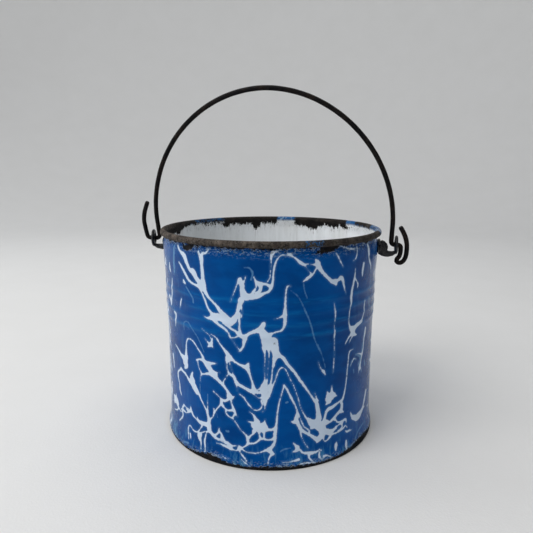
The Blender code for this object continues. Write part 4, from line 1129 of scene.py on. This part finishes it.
def build_underside(material):
    """Riser and underside of the recessed bottom."""
    line = [(FOOT_INNER_EDGE, FOOT_LIFT), (66.2, 0.2)]
    line += arc(RISER_BEND_CENTRE, RISER_BEND, -90.0, -180.0, 4)
    line += [(RISER_INNER, 2.0), (RISER_INNER, 3.2)]
    line += arc((RISER_INNER - RISER_FILLET, DISC_BOTTOM - RISER_FILLET), RISER_FILLET, 0.0, 90.0, 4)
    line += [(radius, DISC_BOTTOM) for radius in (62.0, 55.0, 45.0, 32.0, 18.0, 6.0, 0.01)]
    azimuth = grid_columns(UNDERSIDE_COLUMNS)
    points = ring(even_profile(line, UNDERSIDE_STEP), azimuth)
    height = points[..., 2]
    wear = height - 1.6 + waves(azimuth[None, :], height, seed=51, amount=0.5, turns=12)
    return grid_mesh("underside", points[::-1], True, {"wear": np.clip(wear, -4, 6)[::-1]}, material)


def mesh_object(name, shape, material):
    """Turn a closed bmesh into a linked, smooth object."""
    bmesh.ops.recalc_face_normals(shape, faces=shape.faces)
    mesh = bpy.data.meshes.new(name)
    shape.to_mesh(mesh)
    shape.free()
    return link_object(name, mesh, material)


def ring_angles(count):
    """Angles of points spaced evenly round a full turn."""
    return [2.0 * math.pi * k / count for k in range(count)]


def add_skin(shape, rings, closed=False):
    """Add faces between neighbouring rings of vertices to a bmesh; closed joins the last to the first."""
    faces = []
    for first, second in zip(rings, rings[1:] + rings[:1] if closed else rings[1:]):
        for k in range(len(first)):
            after = (k + 1) % len(first)
            faces.append(shape.faces.new((first[k], second[k], second[after], first[after])))
    return faces


def add_tube(shape, path, radii, across, sides):
    """Add a closed tube along a path to a bmesh; radii are (sideways, upright) for each point."""
    rings = []
    path = [Vector(point) for point in path]
    for i, (point, (wide, tall)) in enumerate(zip(path, radii)):
        along = (path[min(i + 1, len(path) - 1)] - path[max(i - 1, 0)]).normalized()
        side = Vector(across)
        side = (side - along * side.dot(along)).normalized()
        up = along.cross(side)
        rings.append([
            shape.verts.new((point + (side * math.cos(turn) * wide + up * math.sin(turn) * tall)) * MM)
            for turn in ring_angles(sides)
        ])
    add_skin(shape, rings)
    shape.faces.new(rings[0])
    shape.faces.new(rings[-1][::-1])


def shifted(rows, start):
    """Rows whose first value is measured from a start."""
    return [(start + out, *rest) for out, *rest in rows]


def add_bar(shape, rows, pivot):
    """Add an outward bar of an ear to a bmesh: rows of (out, drop, half width, half height)."""
    path = [(out, 0.0, pivot - drop) for out, drop, _, _ in rows]
    add_tube(shape, path, [row[2:] for row in rows], (0.0, 1.0, 0.0), BAR_SIDES)


def add_pad(shape, height):
    """Add the curved oval pad of an ear to a bmesh: its crowned front, then its back."""
    front = [(share, PAD_THICKNESS * (1.0 - share ** 8 * 0.45)) for share in PAD_SHARES]
    back = [(share, 0.0) for share in PAD_SHARES[::-1]]
    rings = []
    for share, rise in front + back:
        loop = []
        radius = PAD_INNER + rise
        for turn in ring_angles(PAD_COLUMNS):
            y = PAD_HALF_WIDTH * share * math.copysign(abs(math.cos(turn)) ** 0.9, math.cos(turn))
            z = height + PAD_HALF_HEIGHT * share * math.sin(turn)
            angle = y / PAD_INNER
            loop.append(shape.verts.new(Vector((radius * math.cos(angle), radius * math.sin(angle), z)) * MM))
        rings.append(loop)
    add_skin(shape, rings)


def add_eye(shape, out, pivot, yaw):
    """Add the upright eye of an ear to a bmesh, turned about the upright by a yaw."""
    middle = (EYE_OUTER + EYE_INNER) / 2.0
    rings = []
    for turn in ring_angles(EYE_STEPS):
        loop = []
        for part in ring_angles(EYE_SIDES):
            radial = middle + math.cos(part) * (EYE_OUTER - EYE_INNER) / 2.0
            axial = math.sin(part) * EYE_HALF_DEPTH
            aside = radial * math.cos(turn)
            x = axial * math.cos(yaw) - aside * math.sin(yaw)
            y = axial * math.sin(yaw) + aside * math.cos(yaw)
            loop.append(shape.verts.new(Vector((out + x, y, pivot + radial * math.sin(turn))) * MM))
        rings.append(loop)
    add_skin(shape, rings, closed=True)


def bail_pivot():
    """Middle of the bail's hinge axis in mm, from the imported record's only joint."""
    return Vector(frame["record"]["behaviour"]["joints"][0]["pos_m"]) / MM


def build_ear(name, node, eye_yaw_deg, material):
    """Cast ear: pad, neck and eye melted into one form."""
    low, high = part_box(node)
    reach = max(abs(low[0]), abs(high[0])) / MM
    pivot = bail_pivot().z
    yaw = math.radians(eye_yaw_deg)
    eye = reach - (EYE_OUTER * math.sin(abs(yaw)) + math.cos(yaw)) + EYE_MARGIN
    root = PAD_INNER + ROOT_OUT
    shape = bmesh.new()
    add_pad(shape, pivot - PAD_DROP)
    add_bar(shape, shifted(NECK_FROM_ROOT, root) + shifted(NECK_FROM_EYE, eye), pivot)
    add_bar(shape, shifted(ROOT_BLOCK, root), pivot)
    add_eye(shape, eye, pivot, yaw)
    obj = mesh_object(name, shape, material)
    if low[0] + high[0] < 0.0:
        obj.data.transform(Matrix.Rotation(math.pi, 4, "Z"))
    remesh = obj.modifiers.new("melt", "REMESH")
    remesh.mode = "VOXEL"
    remesh.voxel_size = MELT_VOXEL * MM
    remesh.use_smooth_shade = True
    smooth = obj.modifiers.new("soften", "SMOOTH")
    smooth.factor = 0.5
    smooth.iterations = MELT_SMOOTHING
    return obj


def rivet_profile():
    """Radius and distance from the pail's axis along a rivet, from its outer dome to its inner one."""
    quarter = [math.radians(90.0 * i / DOME_STEPS) for i in range(DOME_STEPS + 1)]
    dome = [(max(RIVET_RADIUS * math.cos(turn), 0.01), math.sin(turn) ** DOME_POWER) for turn in quarter]
    outer = [(radius, RIVET_OUTER_SEAT + RIVET_OUTER_DOME * rise) for radius, rise in dome[::-1]]
    shank = [(RIVET_SHANK, RIVET_SHANK_OUTER), (RIVET_SHANK, RIVET_INNER_SEAT)]
    inner = [(radius, RIVET_INNER_SEAT - RIVET_INNER_DOME * rise) for radius, rise in dome]
    return outer + shank + inner


def build_rivet(name, node, outer_material, inner_material):
    """Rivet with a hammered dome outside and an enamelled dome inside."""
    low, high = (Vector(corner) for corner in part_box(node))
    centre = (low + high) / 2.0
    outward = Vector((centre.x, centre.y, 0.0)).normalized()
    upward = Vector((0.0, 0.0, 1.0))
    sideways = upward.cross(outward)
    shape = bmesh.new()
    rings = []
    for radius, reach in rivet_profile():
        loop = []
        for turn in ring_angles(RIVET_SIDES):
            offset = sideways * math.cos(turn) * radius + upward * math.sin(turn) * radius
            place = outward * reach * MM + offset * MM
            loop.append(shape.verts.new((place.x, place.y, place.z + centre.z)))
        rings.append(loop)
    faces = add_skin(shape, rings)
    shape.faces.new(rings[0])
    faces.append(shape.faces.new(rings[-1][::-1]))
    for face in faces[(DOME_STEPS + 2) * RIVET_SIDES:]:
        face.material_index = 1
    obj = mesh_object(name, shape, outer_material)
    obj.data.materials.append(inner_material)
    return obj


def smooth_path(points, steps):
    """A curve that passes through every point, without the first one."""
    padded = np.array([points[0]] + list(points) + [points[-1]], dtype=float)
    path = []
    for i in range(1, len(padded) - 2):
        for t in np.linspace(0.0, 1.0, steps + 1)[1:]:
            spot = spline(*padded[i - 1:i + 3], t)
            path.append((float(spot[0]), float(spot[1])))
    return path


def bail_path():
    """Centre line of the whole wire, from the left free end to the right one, in its own plane."""
    bend = arc((LEG_RADIUS + HOOK_BEND, HOOK_BEND), HOOK_BEND, 180.0, 270.0, 8)
    rise = arc((LEFT_CROSSING_END, HOOK_BEND), HOOK_BEND, 270.0, 360.0, 8)
    left = bend + rise + smooth_path([rise[-1]] + list(LEFT_HOOK), 8)
    drop = arc((RIGHT_CROSSING_END, -RIGHT_DROP_BEND), RIGHT_DROP_BEND, 90.0, 0.0, 8)
    right = bend + drop + smooth_path([drop[-1]] + list(RIGHT_HOOK), 6)
    arch = []
    for angle in np.linspace(math.pi, 0.0, 121):
        side = math.copysign(abs(math.cos(angle)) ** (2.0 / ARCH_POWER), math.cos(angle))
        lift = max(math.sin(angle), 0.0) ** (2.0 / ARCH_POWER)
        arch.append((ARCH_HALF_WIDTH * side, ARCH_SPRING_HEIGHT + ARCH_RISE * lift))
    path = [(-x, w) for x, w in left][::-1] + arch + right
    return even_profile(path, BAIL_STEP)


def build_bail(material):
    """Hand-bent wire bail with cut ends."""
    path = bail_path()
    pivot = bail_pivot()
    lean = math.radians(BAIL_LEAN_DEG)
    along = np.linspace(0.0, 1.0, len(path))
    # hand-bent waves of about a tenth of a millimetre, none below the spring of the arch
    sway = 0.10 * np.sin(along * 37.0) + 0.07 * np.sin(along * 91.0 + 1.0)
    sway *= ramp(path[:, 1], ARCH_SPRING_HEIGHT + 0.5, 10.0)
    places = []
    radii = []
    for (side, lift), shift, share in zip(path, sway, along):
        y = -lift * math.sin(lean) + shift * math.cos(lean)
        z = lift * math.cos(lean) + shift * math.sin(lean)
        places.append((side, y + pivot.y, z + pivot.z))
        thick = (BAIL_RADIUS - 0.03) * (1.0 - 0.012 * (1.0 + math.sin(share * 210.0)))
        radii.append((thick, thick))
    radii[0] = radii[-1] = (BAIL_RADIUS * 0.80, BAIL_RADIUS * 0.80)
    shape = bmesh.new()
    add_tube(shape, places, radii, (0.0, math.cos(lean), math.sin(lean)), BAIL_SIDES)
    obj = mesh_object("bail", shape, material)
    obj.data.set_sharp_from_angle(angle=math.radians(50.0))
    return obj


# ---------------------------------------------------------------- studio

def build_stage():
    """Pale round floor that sweeps up into a low wall all round."""
    line = [(0.01, 0.0), (400.0, 0.0), (900.0, 0.0)]
    line += arc((FLOOR_REACH - FLOOR_CURVE, FLOOR_CURVE), FLOOR_CURVE, -90.0, 0.0, 20)
    line.append((FLOOR_REACH, FLOOR_TOP))
    points = ring(np.array(line), grid_columns(FLOOR_COLUMNS))
    stage = grid_mesh("studio_floor", points, True, {}, floor_material())


def add_area_light(name, place, target, size, power, color):
    """One soft rectangular light, placed as the camera sees the pail."""
    data = bpy.data.lights.new(name, "AREA")
    data.shape = "RECTANGLE"
    data.size = size[0]
    data.size_y = size[1]
    data.energy = power
    data.color = color
    light = bpy.data.objects.new(name, data)
    turn = Matrix.Rotation(math.radians(VIEW_TURN_DEG), 4, "Z")
    light.location = turn @ Vector(place)
    aim = turn @ Vector(target) - light.location
    light.rotation_euler = aim.to_track_quat("-Z", "Y").to_euler()
    bpy.context.scene.collection.objects.link(light)


def light_studio():
    """Soft daylight from the upper left with a pale surrounding."""
    world = bpy.data.worlds.new("studio_world")
    world.use_nodes = True
    background = world.node_tree.nodes["Background"]
    background.inputs["Color"].default_value = SKY_COLOR
    background.inputs["Strength"].default_value = SKY_STRENGTH
    bpy.context.scene.world = world
    for light in LIGHTS:
        add_area_light(*light)


def place_camera():
    """Camera at the viewer's place."""
    data = bpy.data.cameras.new("camera")
    data.sensor_width = 36.0
    data.lens = VIEW_LENS
    data.clip_start = 0.01
    data.clip_end = 20.0
    camera = bpy.data.objects.new("camera", data)
    bpy.context.scene.collection.objects.link(camera)
    turn = Matrix.Rotation(math.radians(VIEW_TURN_DEG), 3, "Z")
    yaw = Matrix.Rotation(math.radians(-VIEW_YAW_DEG), 3, "Z")
    pitch = Matrix.Rotation(math.radians(90.0 - VIEW_PITCH_DEG), 3, "X")
    roll = Matrix.Rotation(math.radians(VIEW_ROLL_DEG), 3, "Z")
    camera.rotation_euler = (turn @ yaw @ pitch @ roll).to_euler()
    camera.location = turn @ Vector((0.0, -VIEW_DISTANCE, VIEW_HEIGHT))
    bpy.context.scene.camera = camera


def join_body(obj, body, slot, *nodes):
    """A piece rides on a body and stands for CAD nodes, which it hides; slot is not used."""
    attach(obj, body)
    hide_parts(*nodes)


place_camera()
light_studio()
build_stage()

swirl = swirl_enamel_material()
join_body(build_skin("outside_front", -90.0, 90.0, FRONT_COLUMNS, swirl), "pail", "wall_enamel", "body_wall")
join_body(build_skin("outside_back", 90.0, 270.0, BACK_COLUMNS, swirl), "pail", "wall_enamel", "body_wall")
lining = lining_material()
join_body(build_lining(lining), "pail", "wall_enamel", "body_wall")
join_body(build_underside(underside_material()), "pail", "pan_enamel", "bottom_pan")
ear_black = black_enamel_material("ear_black", 0.25)
join_body(build_ear("left_ear_cast", "left_ear", 13.0, ear_black), "pail", "ear_enamel", "left_ear")
join_body(build_ear("right_ear_cast", "right_ear", 0.0, ear_black), "pail", "ear_enamel", "right_ear")
rivet_black = black_enamel_material("rivet_black", 0.5)
for rivet_node in ("left_rivet_front", "left_rivet_back", "right_rivet_front", "right_rivet_back"):
    rivet = build_rivet(rivet_node + "_head", rivet_node, rivet_black, lining)
    join_body(rivet, "pail", "rivet_enamel", rivet_node)
join_body(build_bail(bail_material()), "bail", "bail_steel", "bail_wire")
for rim_slot in frame["nodes"]["rim_wire"].material_slots:
    rim_slot.material = wire_material()

bpy.context.scene.view_settings.view_transform = "Standard"
